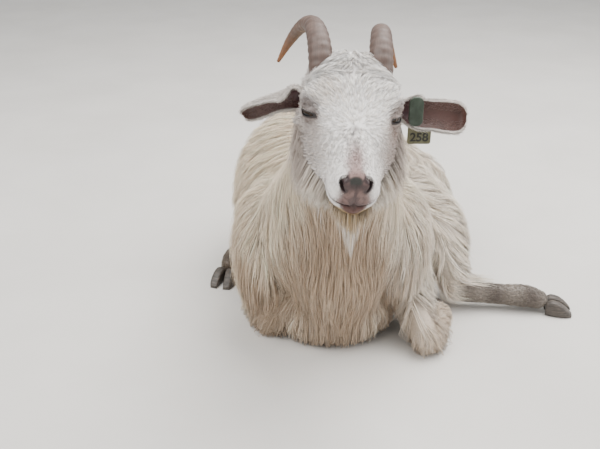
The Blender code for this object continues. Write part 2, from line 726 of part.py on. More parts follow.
def hanging_lock(root, tip, half_width, grow=0.0):
    """A lock that hangs free, a little bowed."""
    root, tip = np.array(root), np.array(tip)
    shares = np.array([row[0] for row in LOCK_SHAPE])[:, None]
    bow = np.array([0.0, -0.06, 0.0]) * np.sin(shares * math.pi) * np.linalg.norm(tip - root)
    centres = root + (tip - root) * shares + bow
    outwards = np.repeat([[0.0, -1.0, 0.0]], len(shares), axis=0)
    return lock_mesh("hanging_lock", centres, outwards, tip, half_width, HANGING_THICKNESS, grow)


def coat_flow(point, normal):
    """The way the coat lies: off the spine, back along the flanks and down everywhere."""
    side = 1.0 if point.x > 0 else -1.0
    trunk = min(max((point.y + 0.13) / 0.15, 0.0), 1.0)
    outward = side * (0.8 * max(normal.z, 0.0) + 0.35 * trunk)
    way = Vector((outward, 0.08 + 0.55 * trunk, -1.0))
    return (way - way.dot(normal) * normal).normalized()


def spread_roots(obj, chance):
    """Roots of the coat's locks, spread evenly over the skin above the floor, with their sizes."""
    chosen = []
    neck_point, neck_normal = Vector(NECK_CUT[0]), Vector(NECK_CUT[1])
    head_point_at, head_normal = Vector(HEAD_CUT[0]), Vector(HEAD_CUT[1])
    faces = list(obj.data.polygons)
    for index in chance.permutation(len(faces)):
        point, normal = faces[index].center, faces[index].normal
        if point.z < LOCK_ROOTS_FROM or normal.z < -0.45:
            continue
        if (point - head_point_at).dot(head_normal) > -0.010:
            continue
        on_neck = (point - neck_point).dot(neck_normal) > 0
        sizes = NECK_LOCKS if on_neck else TRUNK_LOCKS
        if all((point - other).length > sizes[0] for other, _ in chosen):
            chosen.append((point.copy(), sizes[1:]))
    return chosen


def tree_of(obj):
    shape = bmesh.new()
    shape.from_mesh(obj.data)
    bmesh.ops.triangulate(shape, faces=shape.faces)
    tree = BVHTree.FromBMesh(shape)
    shape.free()
    return tree


def make_locks(body, skin, head_core):
    """The locks of the coat and of the head, in the collection that is joined to the body."""
    chance = np.random.default_rng(LOCK_SEED)
    tree = tree_of(body)
    for root, sizes in spread_roots(skin, chance):
        lying_lock(tree, root, coat_flow, *sizes, chance)
    tree = tree_of(head_core)
    for side in (1, -1):
        for root, way, *sizes in HEAD_LOCKS:
            add_head_lock(tree, root, way, sizes, side, chance)
    root, way, *sizes = POLL_LOCK
    add_head_lock(tree, root, way, sizes, 1, chance)
    for row in BEARD_LOCKS:
        hanging_lock(*row)


def add_head_lock(tree, root, way, sizes, side, chance):
    direction = Vector(head_direction((way[0] * side, way[1], way[2])))

    def flow(_, normal):
        return (direction - direction.dot(normal) * normal).normalized()

    lying_lock(tree, side_point(root, side), flow, *sizes, chance)


def join_locks(obj):
    """Join all the locks to an object in one union, and remove them."""
    boolean(obj, locks, "UNION")
    for lock in list(locks.objects):
        bpy.data.objects.remove(lock, do_unlink=True)
    return keep_largest(obj)


def make_body():
    """Trunk, neck, shoulders, haunches and left shank as one closed skin, cut flat at the floor."""
    pieces = [
        loft("trunk_loft", TRUNK, sides=24, steps=4, grow=COAT, square=2.25),
        loft("neck_loft", NECK, sides=20, steps=4, up=(1, 0, 0), grow=COAT),
        loft("shank_loft", LEFT_SHANK, sides=14, steps=3, grow=COAT),
    ]
    for centre, radii, degrees in MASSES:
        grown = tuple(r + COAT for r in radii)
        turn = Matrix.Rotation(math.radians(degrees), 3, "Z")
        pieces.append(ellipsoid("mass", centre, grown, turn, 20, 14))
    points, faces = [], []
    for piece in pieces:
        start = len(points)
        points += [v.co.copy() for v in piece.data.vertices]
        faces += [tuple(start + i for i in p.vertices) for p in piece.data.polygons]
    body = mesh_object("body", points, faces)
    remesh = body.modifiers.new("skin", "REMESH")
    remesh.mode = "VOXEL"
    remesh.voxel_size = VOXEL
    relax = body.modifiers.new("relax", "SMOOTH")
    relax.factor = 0.5
    relax.iterations = SMOOTHING
    settle(body)
    return body


def thin_out(obj, triangles):
    """Collapse a mesh to about this many triangles."""
    count = sum(len(p.vertices) - 2 for p in obj.data.polygons)
    modifier = obj.modifiers.new("thin", "DECIMATE")
    modifier.ratio = min(1.0, triangles / count)
    return settle(obj)


def make_hoof(name, path, side, grow=0.0):
    """One claw at the end of a leg: a flat sole, a curved outer wall and a blunt toe."""
    forward = Vector((path[-1][0] - path[-2][0], path[-1][1] - path[-2][1], 0.0)).normalized()
    across = Vector((-forward.y, forward.x, 0.0))
    base = Vector((path[-1][0], path[-1][1], 0.0)) + forward * HOOF_START
    base += across * side * (HOOF_HALF_WIDTH + GAP)
    splay = Matrix.Rotation(CLAW_SPLAY * side, 3, "Z")
    forward, across = splay @ forward, splay @ across
    points = []
    for along, wide, high in HOOF_PROFILE:
        outer, top = HOOF_HALF_WIDTH * wide + grow, HOOF_HEIGHT * high + grow
        inner = HOOF_HALF_WIDTH + grow
        reach = along * HOOF_LENGTH + (2 * along - 1) * grow
        corners = [(-inner, -grow), (outer, -grow), (outer * 0.92, top * 0.55), (outer * 0.45, top)]
        corners.append((-inner, top * 0.92))
        for offset, height in corners:
            place = base + forward * reach + across * side * offset
            points.append((place.x, place.y, height))
    rings, sides = len(HOOF_PROFILE), 5
    faces = []
    for ring in range(rings - 1):
        for k in range(sides):
            a, b = ring * sides + k, ring * sides + (k + 1) % sides
            faces += [(a, b, b + sides), (a, b + sides, a + sides)]
    faces.append(tuple(range(sides)))
    faces.append(tuple((rings - 1) * sides + k for k in range(sides)))
    return mesh_object(name, points, faces)


def make_tag():
    button = block("tag_button", TAG_BUTTON_AT, TAG_BUTTON_SIZE)
    flag = block("tag_flag", TAG_FLAG_AT, TAG_FLAG_SIZE)
    for obj, width in ((button, 0.0015), (flag, 0.0008)):
        rounding = obj.modifiers.new("rounding", "BEVEL")
        rounding.width = width
        rounding.segments = 2
        settle(obj)
    finish(button, "tag_button", "tag")
    finish(flag, "tag_flag", "flag")


def build():
    floor = ((0.0, 0.0, -GAP / 2), (0.0, 0.0, 1.0))
    above = half_space("above", floor, 1)
    skin = make_body()
    body = thin_out(copy_of(skin, "coated"), BODY_TRIANGLES)
    head_core = head_loft("head_core")
    boolean(body, head_core, "UNION")
    make_locks(body, skin, head_core)
    join_locks(body)
    keep(body, above)
    head_grown = head_loft("head_grown", grow=GAP)

    legs, legs_grown = {}, []
    for name, forearm, cannon in LEGS:
        for grow in (0.0, GAP):
            leg = loft(f"{name}_cannon", cannon, sides=8, steps=2, grow=grow)
            if forearm:
                boolean(leg, loft("forearm", forearm, sides=8, steps=2, grow=grow), "UNION")
            if grow:
                legs_grown.append(leg)
            else:
                legs[name] = keep(leg, above)
    hooves = {}
    for name, _, cannon in LEGS:
        for claw, side in (("inner", 1), ("outer", -1)):
            pastern = loft("pastern", cannon, sides=8, steps=2, grow=GAP)
            hooves[f"hoof_{name}_{claw}"] = cut(make_hoof("claw", cannon, side), pastern)
            legs_grown.append(make_hoof("claw_grown", cannon, side, GAP))
    tail = loft("tail", TAIL, sides=8, steps=2)
    tail_grown = loft("tail_grown", TAIL, sides=8, steps=2, grow=GAP)
    for obj, grow in ((tail, 0.0), (tail_grown, GAP)):
        for row in TAIL_LOCKS:
            hanging_lock(*row, grow)
        join_locks(obj)

    horns, ears, head_cutters = {}, {}, []
    for label, stations in (("left", LEFT_HORN), ("right", RIGHT_HORN)):
        horns[label] = keep_largest(cut(make_horn(label, stations), head_grown))
        head_cutters.append(cut(make_horn(f"{label}_grown", stations, GAP), head_core))
    for label, sizes in (("left", LEFT_EAR), ("right", RIGHT_EAR)):
        ears[label] = keep_largest(cut(make_ear(label, sizes), head_grown))
        head_cutters.append(cut(make_ear(f"{label}_grown", sizes, EAR_THICKNESS + 2 * GAP), head_core))

    head = copy_of(body, "head")
    neck = copy_of(body, "neck_part")
    keep(head, half_space("head_side", HEAD_CUT, 1))
    keep(neck, half_space("neck_side", HEAD_CUT, -1), half_space("neck_front", NECK_CUT, 1))
    cut_face(head)
    cut(head, *head_cutters)
    cut(neck, *head_cutters)

    left_box = block("left_thigh_box", *LEFT_THIGH_BOX)
    right_box = block("right_thigh_box", *RIGHT_THIGH_BOX)
    left_hole = block("left_thigh_hole", *LEFT_THIGH_BOX, grow=GAP)
    right_hole = block("right_thigh_hole", *RIGHT_THIGH_BOX, grow=GAP)
    torso = copy_of(body, "torso")
    keep(torso, half_space("torso_back", NECK_CUT, -1), half_space("torso_front", RUMP_CUT, -1))
    cut(torso, left_hole, right_hole, *legs_grown)
    rump = copy_of(body, "hindquarters")
    keep(rump, half_space("rump_side", RUMP_CUT, 1))
    cut(rump, left_hole, right_hole, *legs_grown, tail_grown)
    thigh_left = cut(keep(copy_of(body, "thigh_left"), left_box), *legs_grown)
    thigh_right = cut(keep(copy_of(body, "thigh_right"), right_box), *legs_grown)

    finish(head, "head", "face")
    finish(neck, "neck", "coat")
    finish(torso, "torso", "coat")
    finish(rump, "hindquarters", "coat")
    finish(thigh_left, "thigh_left", "coat")
    finish(thigh_right, "thigh_right", "coat")
    finish(tail, "tail", "coat")
    for label in ("left", "right"):
        finish(horns[label], f"horn_{label}", "horn")
        finish(ears[label], f"ear_{label}", "ear")
    for name, leg in legs.items():
        finish(leg, name, "leg" if name.startswith("hind") else "face")
    for name, hoof in hooves.items():
        finish(hoof, name, "hoof", 30.0)
    make_eyes()
    make_tag()


clear_scene()
scratch = new_collection("scratch")
locks = new_collection("locks")
goat = new_collection("kiko_goat")
build()
for helper in list(scratch.objects):
    bpy.data.objects.remove(helper, do_unlink=True)
bpy.data.collections.remove(scratch)
bpy.data.collections.remove(locks)
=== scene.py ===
"""The looks of a kiko goat lying on its brisket: skin, coat of solid strands, eyes, horns, claws, tag.

Metres, +Z up. The goat faces -Y and its left side is +X. The shapes repeat the part's own lofts, finer.
"""

import math
from functools import cache

import bmesh
import bpy
import numpy as np
from mathutils import Matrix, Vector
from mathutils.bvhtree import BVHTree
from mathutils.kdtree import KDTree


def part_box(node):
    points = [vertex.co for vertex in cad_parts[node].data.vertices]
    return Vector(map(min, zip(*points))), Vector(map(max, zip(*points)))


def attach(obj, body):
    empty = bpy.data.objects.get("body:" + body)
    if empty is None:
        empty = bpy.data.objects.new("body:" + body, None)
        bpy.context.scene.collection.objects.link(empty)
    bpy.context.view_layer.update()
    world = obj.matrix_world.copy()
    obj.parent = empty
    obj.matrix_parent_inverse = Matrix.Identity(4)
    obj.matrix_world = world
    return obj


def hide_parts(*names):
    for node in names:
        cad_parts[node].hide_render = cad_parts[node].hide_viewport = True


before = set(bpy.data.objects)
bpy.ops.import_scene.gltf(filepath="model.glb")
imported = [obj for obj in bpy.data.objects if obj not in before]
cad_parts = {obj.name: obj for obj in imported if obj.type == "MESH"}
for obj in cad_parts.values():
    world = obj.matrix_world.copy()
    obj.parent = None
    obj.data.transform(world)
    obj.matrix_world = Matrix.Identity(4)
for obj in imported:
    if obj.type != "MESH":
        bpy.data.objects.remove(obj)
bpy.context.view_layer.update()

CAMERA_AT = (-0.079, -1.412, 0.920)
CAMERA_TILT = math.radians(64.0)
LENS = 45.0
SENSOR = 36.0

# The head's own frame: w to the goat's left, s along the head to the nose, h up from the eyes' line
HEAD_AT = (-0.0025, -0.341, 0.577)
HEAD_PITCH = math.radians(30.0)
HEAD_ROLL = math.radians(3.8)
HEAD_RINGS = 170
HEAD_SECTORS = 132
SECTOR_CROWDING = 0.55
HEAD_FRONT = 0.148
HEAD_FRONT_ROUNDING = 0.030
HEAD_BACK = -0.125
HEAD_BACK_ROUNDING = 0.030
# Station along the head, half width, top, underside, height of the widest line, which is the mouth's line
HEAD_STATIONS = (
    (-0.125, 0.054, 0.018, -0.075, -0.030),
    (-0.095, 0.061, 0.036, -0.092, -0.026),
    (-0.060, 0.068, 0.047, -0.100, -0.018),
    (-0.025, 0.0725, 0.048, -0.103, -0.008),
    (0.000, 0.0700, 0.041, -0.100, -0.008),
    (0.030, 0.0630, 0.033, -0.090, -0.014),
    (0.060, 0.0510, 0.0275, -0.077, -0.020),
    (0.090, 0.0410, 0.0260, -0.064, -0.023),
    (0.118, 0.0360, 0.0250, -0.058, -0.023),
    (0.148, 0.0335, 0.0200, -0.053, -0.023),
)
# Swellings and hollows of both sides of the head: w, s, h, reach, height
HEAD_MASSES = (
    (0.062, -0.014, 0.020, 0.017, 0.007),
    (0.070, 0.000, 0.000, 0.017, 0.005),
    (0.060, 0.032, -0.004, 0.018, -0.004),
    (0.062, -0.030, -0.055, 0.034, 0.007),
    (0.052, 0.050, -0.060, 0.046, 0.013),
    (0.022, 0.134, 0.010, 0.012, 0.004),
    (0.026, 0.124, -0.012, 0.014, 0.003),
    (0.000, 0.140, -0.035, 0.016, 0.006),
)
HEAD_MIDDLE = (0.0, 0.02, -0.025)
MOUTH_CORNER = 0.088
MOUTH_DEPTH = 0.0035
MOUTH_HALF_WIDTH = 0.0016
PHILTRUM_DEPTH = 0.0016
LIP_RISE = 0.0014

EYE_RADIUS = 0.0140
EYE_AT = (0.0590, 0.001, 0.000)
EYE_AXIS = (0.68, 0.66, 0.26)
# How much higher the goat's right eye sits than its left one
RIGHT_EYE_RISE = 0.0060
EYE_OPENING = (0.0120, 0.0034, 0.014)
EYE_SLANT = math.radians(-22.0)
OPENING_RISE = 0.0016
# Half sizes of the shaded hair round an eye, in the eye's own frame
EYE_SHADOW = (0.034, 0.0255, 0.042)
EYE_SHADOW_RISE = 0.0050
LID_THICKNESS = 0.0018
# Where the lids end: the angle from the eye's axis, and the distance from its middle
LID_ANGLES = (math.radians(38), math.radians(78))
LID_REACH = (0.024, 0.034)
IRIS_EDGE = (0.0102, 0.0094)
IRIS_RIM_EDGE = (0.0080, 0.0098)
PUPIL_HALF_SIZES = (0.0062, 0.0022)

NOSTRIL = (
    (0.0140, 0.1340, 0.0190, 0.0014, 0.008),
    (0.0195, 0.1345, 0.0165, 0.0030, 0.009),
    (0.0212, 0.1365, 0.0110, 0.0034, 0.009),
    (0.0175, 0.1385, 0.0055, 0.0024, 0.009),
    (0.0145, 0.1395, 0.0030, 0.0012, 0.008),
)

# Bare skin of the nose and the upper lip: place over the rounded tip, and half width there
BARE_NOSE = (
    (0.0780, 0.0060),
    (0.0900, 0.0115),
    (0.0960, 0.0170),
    (0.1010, 0.0245),
    (0.1100, 0.0225),
    (0.1170, 0.0218),
    (0.1260, 0.0250),
    (0.1380, 0.0242),
)
NOSE_PAD = (-0.0010, 0.1040, 0.0088, 0.0085)
LOWER_LIP = (0.0190, 0.0175)

# Lofts: centre, half width across, half height
TRUNK = (
    (-0.005, -0.105, 0.150, 0.075, 0.105),
    (-0.008, -0.060, 0.170, 0.120, 0.160),
    (-0.010, 0.010, 0.185, 0.150, 0.188),
    (-0.012, 0.090, 0.190, 0.176, 0.196),
    (-0.022, 0.180, 0.192, 0.196, 0.203),
    (-0.028, 0.270, 0.190, 0.196, 0.202),
    (-0.005, 0.345, 0.184, 0.174, 0.192),
    (0.045, 0.390, 0.172, 0.138, 0.172),
    (0.108, 0.402, 0.160, 0.112, 0.150),
    (0.165, 0.395, 0.148, 0.086, 0.120),
)
NECK = (
    (-0.003, -0.285, 0.550, 0.048, 0.052),
    (-0.005, -0.235, 0.485, 0.058, 0.068),
    (-0.010, -0.180, 0.410, 0.074, 0.088),
    (-0.015, -0.115, 0.325, 0.098, 0.118),
    (-0.015, -0.055, 0.240, 0.118, 0.145),
    (-0.010, 0.000, 0.170, 0.120, 0.140),
)
LEFT_SHANK = (
    (0.228, 0.200, 0.165, 0.060, 0.060),
    (0.242, 0.140, 0.150, 0.052, 0.058),
    (0.258, 0.090, 0.095, 0.040, 0.044),
    (0.268, 0.055, 0.055, 0.030, 0.034),
)
# Muscle masses: centre, half sizes, turn about Z in degrees
MASSES = (
    ((0.118, -0.010, 0.195), (0.062, 0.100, 0.140), 8.0),
    ((-0.142, 0.000, 0.175), (0.068, 0.105, 0.150), -8.0),
    ((0.188, 0.225, 0.140), (0.074, 0.135, 0.125), 8.0),
    ((-0.130, 0.290, 0.115), (0.088, 0.140, 0.118), -12.0),
    ((-0.012, -0.035, 0.060), (0.125, 0.095, 0.075), 0.0),
    ((-0.085, 0.230, 0.220), (0.127, 0.190, 0.155), 0.0),
)
SKIN_VOXEL = 0.0050
SKIN_SMOOTHING = 14
FLOOR_CLEARANCE = 0.0012

LEFT_HORN = (
    (0.0435, -0.296, 0.595, 0.0190),
    (0.0440, -0.280, 0.645, 0.0186),
    (0.0465, -0.245, 0.671, 0.0168),
    (0.0505, -0.200, 0.672, 0.0145),
    (0.0590, -0.155, 0.657, 0.0115),
    (0.0720, -0.125, 0.635, 0.0080),
    (0.0890, -0.110, 0.592, 0.0030),
)
RIGHT_HORN = (
    (-0.0465, -0.296, 0.600, 0.0190),
    (-0.0480, -0.280, 0.651, 0.0186),
    (-0.0530, -0.245, 0.679, 0.0168),
    (-0.0620, -0.195, 0.684, 0.0145),
    (-0.0780, -0.150, 0.668, 0.0115),
    (-0.0970, -0.118, 0.638, 0.0080),
    (-0.1170, -0.100, 0.600, 0.0030),
)
HORN_FLATTENING = 0.86
HORN_RINGS = 20
HORN_RING_DEPTH = 0.0006

# Ears: root, tip, and the way the hollow opens at the root and at the tip
LEFT_EAR = ((0.066, -0.283, 0.566), (0.185, -0.275, 0.560), (0.05, -0.93, 0.30), (0.05, -0.93, 0.30))
RIGHT_EAR = ((-0.066, -0.283, 0.590), (-0.170, -0.262, 0.557), (-0.25, -0.90, -0.10), (-0.15, -0.66, -0.75))
# How much tighter an ear is rolled beyond its root, and how far it arches up
EAR_ROLLS = {"left": (0.0, 0.0), "right": (0.75, 0.010)}
# Share of the ear's length, half its width along the curve, and half the angle that the curve takes
EAR_SECTIONS = (
    (0.00, 0.0200, 2.30),
    (0.16, 0.0300, 1.60),
    (0.34, 0.0300, 1.00),
    (0.52, 0.0275, 0.75),
    (0.72, 0.0285, 0.60),
    (0.88, 0.0270, 0.50),
    (0.96, 0.0205, 0.45),
    (1.00, 0.0080, 0.40),
)
# How far the ear's upper edge is drawn in beyond the fold near its root
EAR_FOLD = 0.22
EAR_THICKNESS = 0.0034
EAR_ROWS = 64
EAR_COLUMNS = 44

LEFT_FOREARM = (
    (0.150, 0.010, 0.110, 0.046, 0.050),
    (0.160, -0.040, 0.085, 0.038, 0.042),
    (0.170, -0.090, 0.055, 0.030, 0.034),
    (0.178, -0.128, 0.034, 0.028, 0.031),
    (0.182, -0.142, 0.030, 0.020, 0.022),
)
LEFT_FORE_CANNON = (
    (0.196, -0.128, 0.026, 0.020, 0.024),
    (0.211, -0.098, 0.022, 0.017, 0.020),
    (0.222, -0.064, 0.024, 0.017, 0.020),
    (0.228, -0.035, 0.028, 0.020, 0.024),
    (0.222, -0.008, 0.024, 0.016, 0.020),
)
RIGHT_FOREARM = (
    (-0.150, 0.075, 0.110, 0.046, 0.050),
    (-0.146, 0.035, 0.085, 0.038, 0.042),
    (-0.136, -0.015, 0.055, 0.030, 0.034),
    (-0.128, -0.053, 0.034, 0.028, 0.031),
    (-0.126, -0.067, 0.030, 0.020, 0.022),
)
RIGHT_FORE_CANNON = (
    (-0.148, -0.055, 0.026, 0.020, 0.024),
    (-0.162, -0.030, 0.022, 0.017, 0.020),
    (-0.174, -0.004, 0.024, 0.017, 0.020),
    (-0.182, 0.018, 0.028, 0.020, 0.024),
    (-0.184, 0.040, 0.024, 0.016, 0.020),
)
LEFT_HIND_CANNON = (
    (0.268, 0.052, 0.046, 0.026, 0.030),
    (0.315, 0.048, 0.040, 0.022, 0.026),
    (0.370, 0.044, 0.035, 0.020, 0.024),
    (0.425, 0.038, 0.034, 0.023, 0.026),
    (0.462, 0.032, 0.027, 0.019, 0.021),
)
RIGHT_HIND_CANNON = (
    (-0.150, 0.355, 0.036, 0.026, 0.030),
    (-0.190, 0.318, 0.031, 0.021, 0.024),
    (-0.224, 0.270, 0.028, 0.020, 0.023),
    (-0.245, 0.222, 0.030, 0.023, 0.026),
    (-0.253, 0.190, 0.025, 0.019, 0.021),
)
CANNONS = {
    "foreleg_left": LEFT_FORE_CANNON,
    "foreleg_right": RIGHT_FORE_CANNON,
    "hindleg_left": LEFT_HIND_CANNON,
    "hindleg_right": RIGHT_HIND_CANNON,
}
HOOF_LENGTH = 0.056
HOOF_HALF_WIDTH = 0.0125
HOOF_HEIGHT = 0.034
HOOF_START = 0.012
CLAW_SIDES = 28
SOLE_CLEARANCE = 0.0004
TOE_ROUNDING = 0.0015
# Share of a claw's length, and there the share of its half width and of its height
HOOF_PROFILE = (
    (0.00, 0.75, 0.86),
    (0.25, 0.98, 1.00),
    (0.55, 1.00, 0.86),
    (0.80, 0.82, 0.56),
    (1.00, 0.38, 0.22),
)
CLAW_SPLAY = math.radians(7.0)
GAP = 0.0003
# How far the round end of a loft reaches, as a share of its radius
DOME = 0.8

TAIL = (
    (0.205, 0.392, 0.215, 0.028, 0.024),
    (0.236, 0.386, 0.218, 0.030, 0.020),
    (0.262, 0.374, 0.200, 0.028, 0.016),
    (0.280, 0.364, 0.172, 0.018, 0.010),
    (0.288, 0.360, 0.150, 0.006, 0.004),
)

# The plane where the head meets the neck, and the whorl on the forehead
HEAD_CUT_AT = (0.0, -0.242, 0.575)
HEAD_CUT_NORMAL = (0.0, -0.894, 0.447)
WHORL_AT = 0.045

# The coat: strands a square metre and clump spacing, of the body, the head and the cannons
BODY_DENSITY = 50500
BODY_CLUMPS = 0.0150
HEAD_DENSITY = 272000
HEAD_CLUMPS = 0.0060
LEG_DENSITY = 165000
LEG_CLUMPS = 0.0060
COAT_PATH_STEPS = 9
# Shares of a strand's length where its rings lie, on long hair and on short hair
LONG_RINGS = (0.0, 0.34, 0.70)
SHORT_RINGS = (0.0, 0.50)
COAT_PATCH = 0.003
STRAND_THICKNESS = 0.55
# Width and tone of a strand of the coat, and of a single strand, at the long rings and at the tip; the tones
# are painted shade, darkest at the root and lightest at the tip
COAT_WIDTHS = (0.75, 1.0, 0.80)
COAT_SHADE_TONES = (0.80, 0.94, 1.03, 1.07)
STRAND_WIDTHS = (0.8, 1.0, 0.75)
STRAND_SHADE_TONES = (0.82, 0.95, 1.03, 1.07)
BRIGHTEST = 0.94
# How deep a strand starts in the skin
COAT_ROOT_DEPTH = 0.0020
STRAND_ROOT_DEPTH = 0.0008
PIECE_TRIANGLES = 190000
SPINE_STEP = 0.004

# Station along the head, and the length of the hair there
FACE_HAIR = (
    (-0.120, 0.040),
    (-0.070, 0.030),
    (-0.030, 0.019),
    (0.020, 0.015),
    (0.060, 0.011),
    (0.100, 0.006),
    (0.148, 0.0040),
)
# Station along the head, and the length of the hair that hangs from the jaw there
JAW_HAIR = (
    (-0.085, 0.085),
    (-0.030, 0.085),
    (0.030, 0.066),
    (0.095, 0.036),
)
JAW_STRANDS = 5600

# Seeds of the random draws
SEEDS = {
    "coat": 11,
    "face_hair": 12,
    "leg_hair": 13,
    "jaw_hair": 19,
    "beard": 23,
    "tail_hair": 29,
    "chin_hair": 31,
    "lashes": 37,
    "ear_left": 41,
    "ear_right": 42,
}
# Half widths of single strands
HALF_WIDTHS = {
    "jaw_hair": 0.00065,
    "beard": 0.00060,
    "chin_hair": 0.00048,
    "tail_hair": 0.0008,
    "lashes": 0.00018,
    "ear": 0.00042,
}
# How strands are gathered in locks: the spacing of the locks, and how far the tips are drawn together
LOCKS = {
    "jaw_hair": (0.009, 0.42),
    "beard": (0.008, 0.55),
    "chin_hair": (0.006, 0.35),
    "tail_hair": (0.014, 0.5),
}

# Colours, linear
CREAM = (0.93, 0.79, 0.62)
PALE = (0.90, 0.81, 0.70)
# Beige of the chest, darkened as painted shade; also the tint of the painted shade under the jaw and low on
# the forelegs
CHEST_SHADE = (0.50, 0.355, 0.235)
BROWNISH = (0.36, 0.235, 0.14)
WHITE = (0.91, 0.88, 0.86)
LEG_BROWN = (0.060, 0.039, 0.029)
STAIN = (0.46, 0.295, 0.105)
EYE_SHADE = (0.090, 0.067, 0.062)
CHEEK_SHADE = (0.355, 0.283, 0.252)
DARK_SKIN = (0.022, 0.016, 0.015)
PINK_SKIN = (0.29, 0.185, 0.170)
LIP_SKIN = (0.185, 0.110, 0.098)
LIP_RED = (0.074, 0.024, 0.017)
NOSE_GREY = (0.028, 0.028, 0.024)
NOSTRIL_DARK = (0.042, 0.025, 0.025)
HORN_GREY = (0.118, 0.080, 0.068)
HORN_BROWN = (0.130, 0.077, 0.054)
HORN_TIP = (0.25, 0.110, 0.046)
EAR_DEEP_SHADE = (0.045, 0.006, 0.010)
EAR_PINK = (0.070, 0.028, 0.021)
EAR_BROWN = (0.045, 0.018, 0.013)
EAR_HAIR = (0.80, 0.75, 0.71)
EAR_FUZZ = (0.15, 0.080, 0.062)
EYE_WHITE = (0.026, 0.018, 0.015)
IRIS = (0.034, 0.019, 0.009)
IRIS_RIM = (0.020, 0.012, 0.008)
PUPIL = (0.003, 0.003, 0.004)
# Colours of a claw's layers, each with its place in the noise that makes them
HOOF_BANDS = (
    (0.30, (0.030, 0.026, 0.023)),
    (0.55, (0.075, 0.062, 0.052)),
    (0.80, (0.16, 0.13, 0.10)),
)
TAG_GREEN = (0.020, 0.034, 0.020)
TAG_OLIVE = (0.120, 0.115, 0.058)
TAG_PRINT = (0.012, 0.013, 0.009)
TAG_DIGITS = "258"
DIGIT_SIZE = 0.0200
DIGIT_DEPTH = 0.00015
DIGIT_BOLDNESS = 0.0005
BUTTON_BEVEL = 0.0010
BUTTON_ROUNDING = 0.80
FLAG_BEVEL = 0.0004
FLAG_ROUNDING = 0.0030

BEARD_ROOT = (0.0, 0.105, -0.055)
BEARD_LENGTH = 0.112
BEARD_STRANDS = 800
CHIN_STRANDS = 1500
CHIN_HAIR = 0.029
TAIL_STRANDS = 900
TAIL_HAIR = 0.075
LASHES = 26
LASH_LENGTH = 0.0060

FLESH_NODES = (
    "head",
    "neck",
    "torso",
    "hindquarters",
    "thigh_left",
    "thigh_right",
    "tail",
    "foreleg_left",
    "foreleg_right",
    "hindleg_left",
    "hindleg_right",
)

FLOOR_SIZE = 60.0
FLOOR_AT = (0.0, 4.0, 0.0)
SURROUND = 0.70
SURROUND_COLOUR = (0.96, 0.98, 1.0, 1.0)
LIGHTS_AIM = (0.0, 0.0, 0.3)
# Lights: name, place, size, power, colour
LIGHTS = (
    ("key", (-1.7, -1.3, 3.0), 2.4, 125.0, (1.0, 0.98, 0.95)),
    ("top", (1.1, 0.7, 3.2), 2.8, 215.0, (1.0, 0.98, 0.95)),
    ("fill", (2.8, -0.6, 1.5), 2.0, 55.0, (1.0, 0.98, 0.96)),
)


def unit(vectors):
    vectors = np.asarray(vectors, float)
    return vectors / (np.linalg.norm(vectors, axis=-1, keepdims=True) + 1e-12)


def smoothstep(low, high, value):
    share = np.clip((np.asarray(value, float) - low) / (high - low), 0, 1)
    return share * share * (3 - 2 * share)


def mix(a, b, share):
    """Colours a and b mixed by a share for each point."""
    a, b = np.asarray(a, float), np.asarray(b, float)
    return a + (b - a) * np.asarray(share, float)[..., None]


def paint(colour, *marks):
    """A colour with marks laid over it in turn, each a tint and its share for each point."""
    for tint, share in marks:
        colour = mix(colour, tint, share)
    return colour


def add_object(name, data):
    obj = bpy.data.objects.new(name, data)
    bpy.context.scene.collection.objects.link(obj)
    return obj


def mesh_object(name, points, faces):
    mesh = bpy.data.meshes.new(name)
    mesh.from_pydata([tuple(p) for p in points], [], faces)
    shape = bmesh.new()
    shape.from_mesh(mesh)
    bmesh.ops.recalc_face_normals(shape, faces=shape.faces)
    shape.to_mesh(mesh)
    shape.free()
    mesh.shade_smooth()
    return add_object(name, mesh)


def drop(*objects):
    for obj in objects:
        bpy.data.objects.remove(obj, do_unlink=True)


def evaluated_mesh(obj):
    """The mesh that an object's modifiers, or its curve or text, make of it."""
    bpy.context.view_layer.update()
    graph = bpy.context.evaluated_depsgraph_get()
    return bpy.data.meshes.new_from_object(obj.evaluated_get(graph))


def settle(obj):
    """Replace an object's mesh with what its modifiers make of it."""
    made = evaluated_mesh(obj)
    obj.modifiers.clear()
    obj.data = made


def boolean(obj, other, operation):
    modifier = obj.modifiers.new(operation, "BOOLEAN")
    modifier.operation = operation
    modifier.solver = "MANIFOLD"
    modifier.object = other
    settle(obj)
    drop(other)


def smooth_rows(rows, steps):
    """Rows read from a smooth curve through the given rows, with this many steps between two of them."""
    rows = np.array(rows, float)
    padded = np.vstack([2 * rows[0] - rows[1], rows, 2 * rows[-1] - rows[-2]])
    found = []
    for a, b, c, d in zip(padded, padded[1:], padded[2:], padded[3:]):
        for t in np.arange(steps) / steps:
            bend = (2 * a - 5 * b + 4 * c - d) * t**2 + (3 * b - a - 3 * c + d) * t**3
            found.append(0.5 * (2 * b + (c - a) * t + bend))
    found.append(rows[-1])
    return np.array(found)


def tube_faces(rings, sides):
    """Quads between closed rings, with a fan to a pole at each end: the poles come after the rings."""
    first, last = rings * sides, rings * sides + 1
    faces = []
    for ring in range(rings - 1):
        for side in range(sides):
            after = (side + 1) % sides
            low, high = ring * sides, (ring + 1) * sides
            faces.append((low + side, low + after, high + after, high + side))
    for side in range(sides):
        after = (side + 1) % sides
        faces.append((first, after, side))
        end = (rings - 1) * sides
        faces.append((last, end + side, end + after))
    return faces


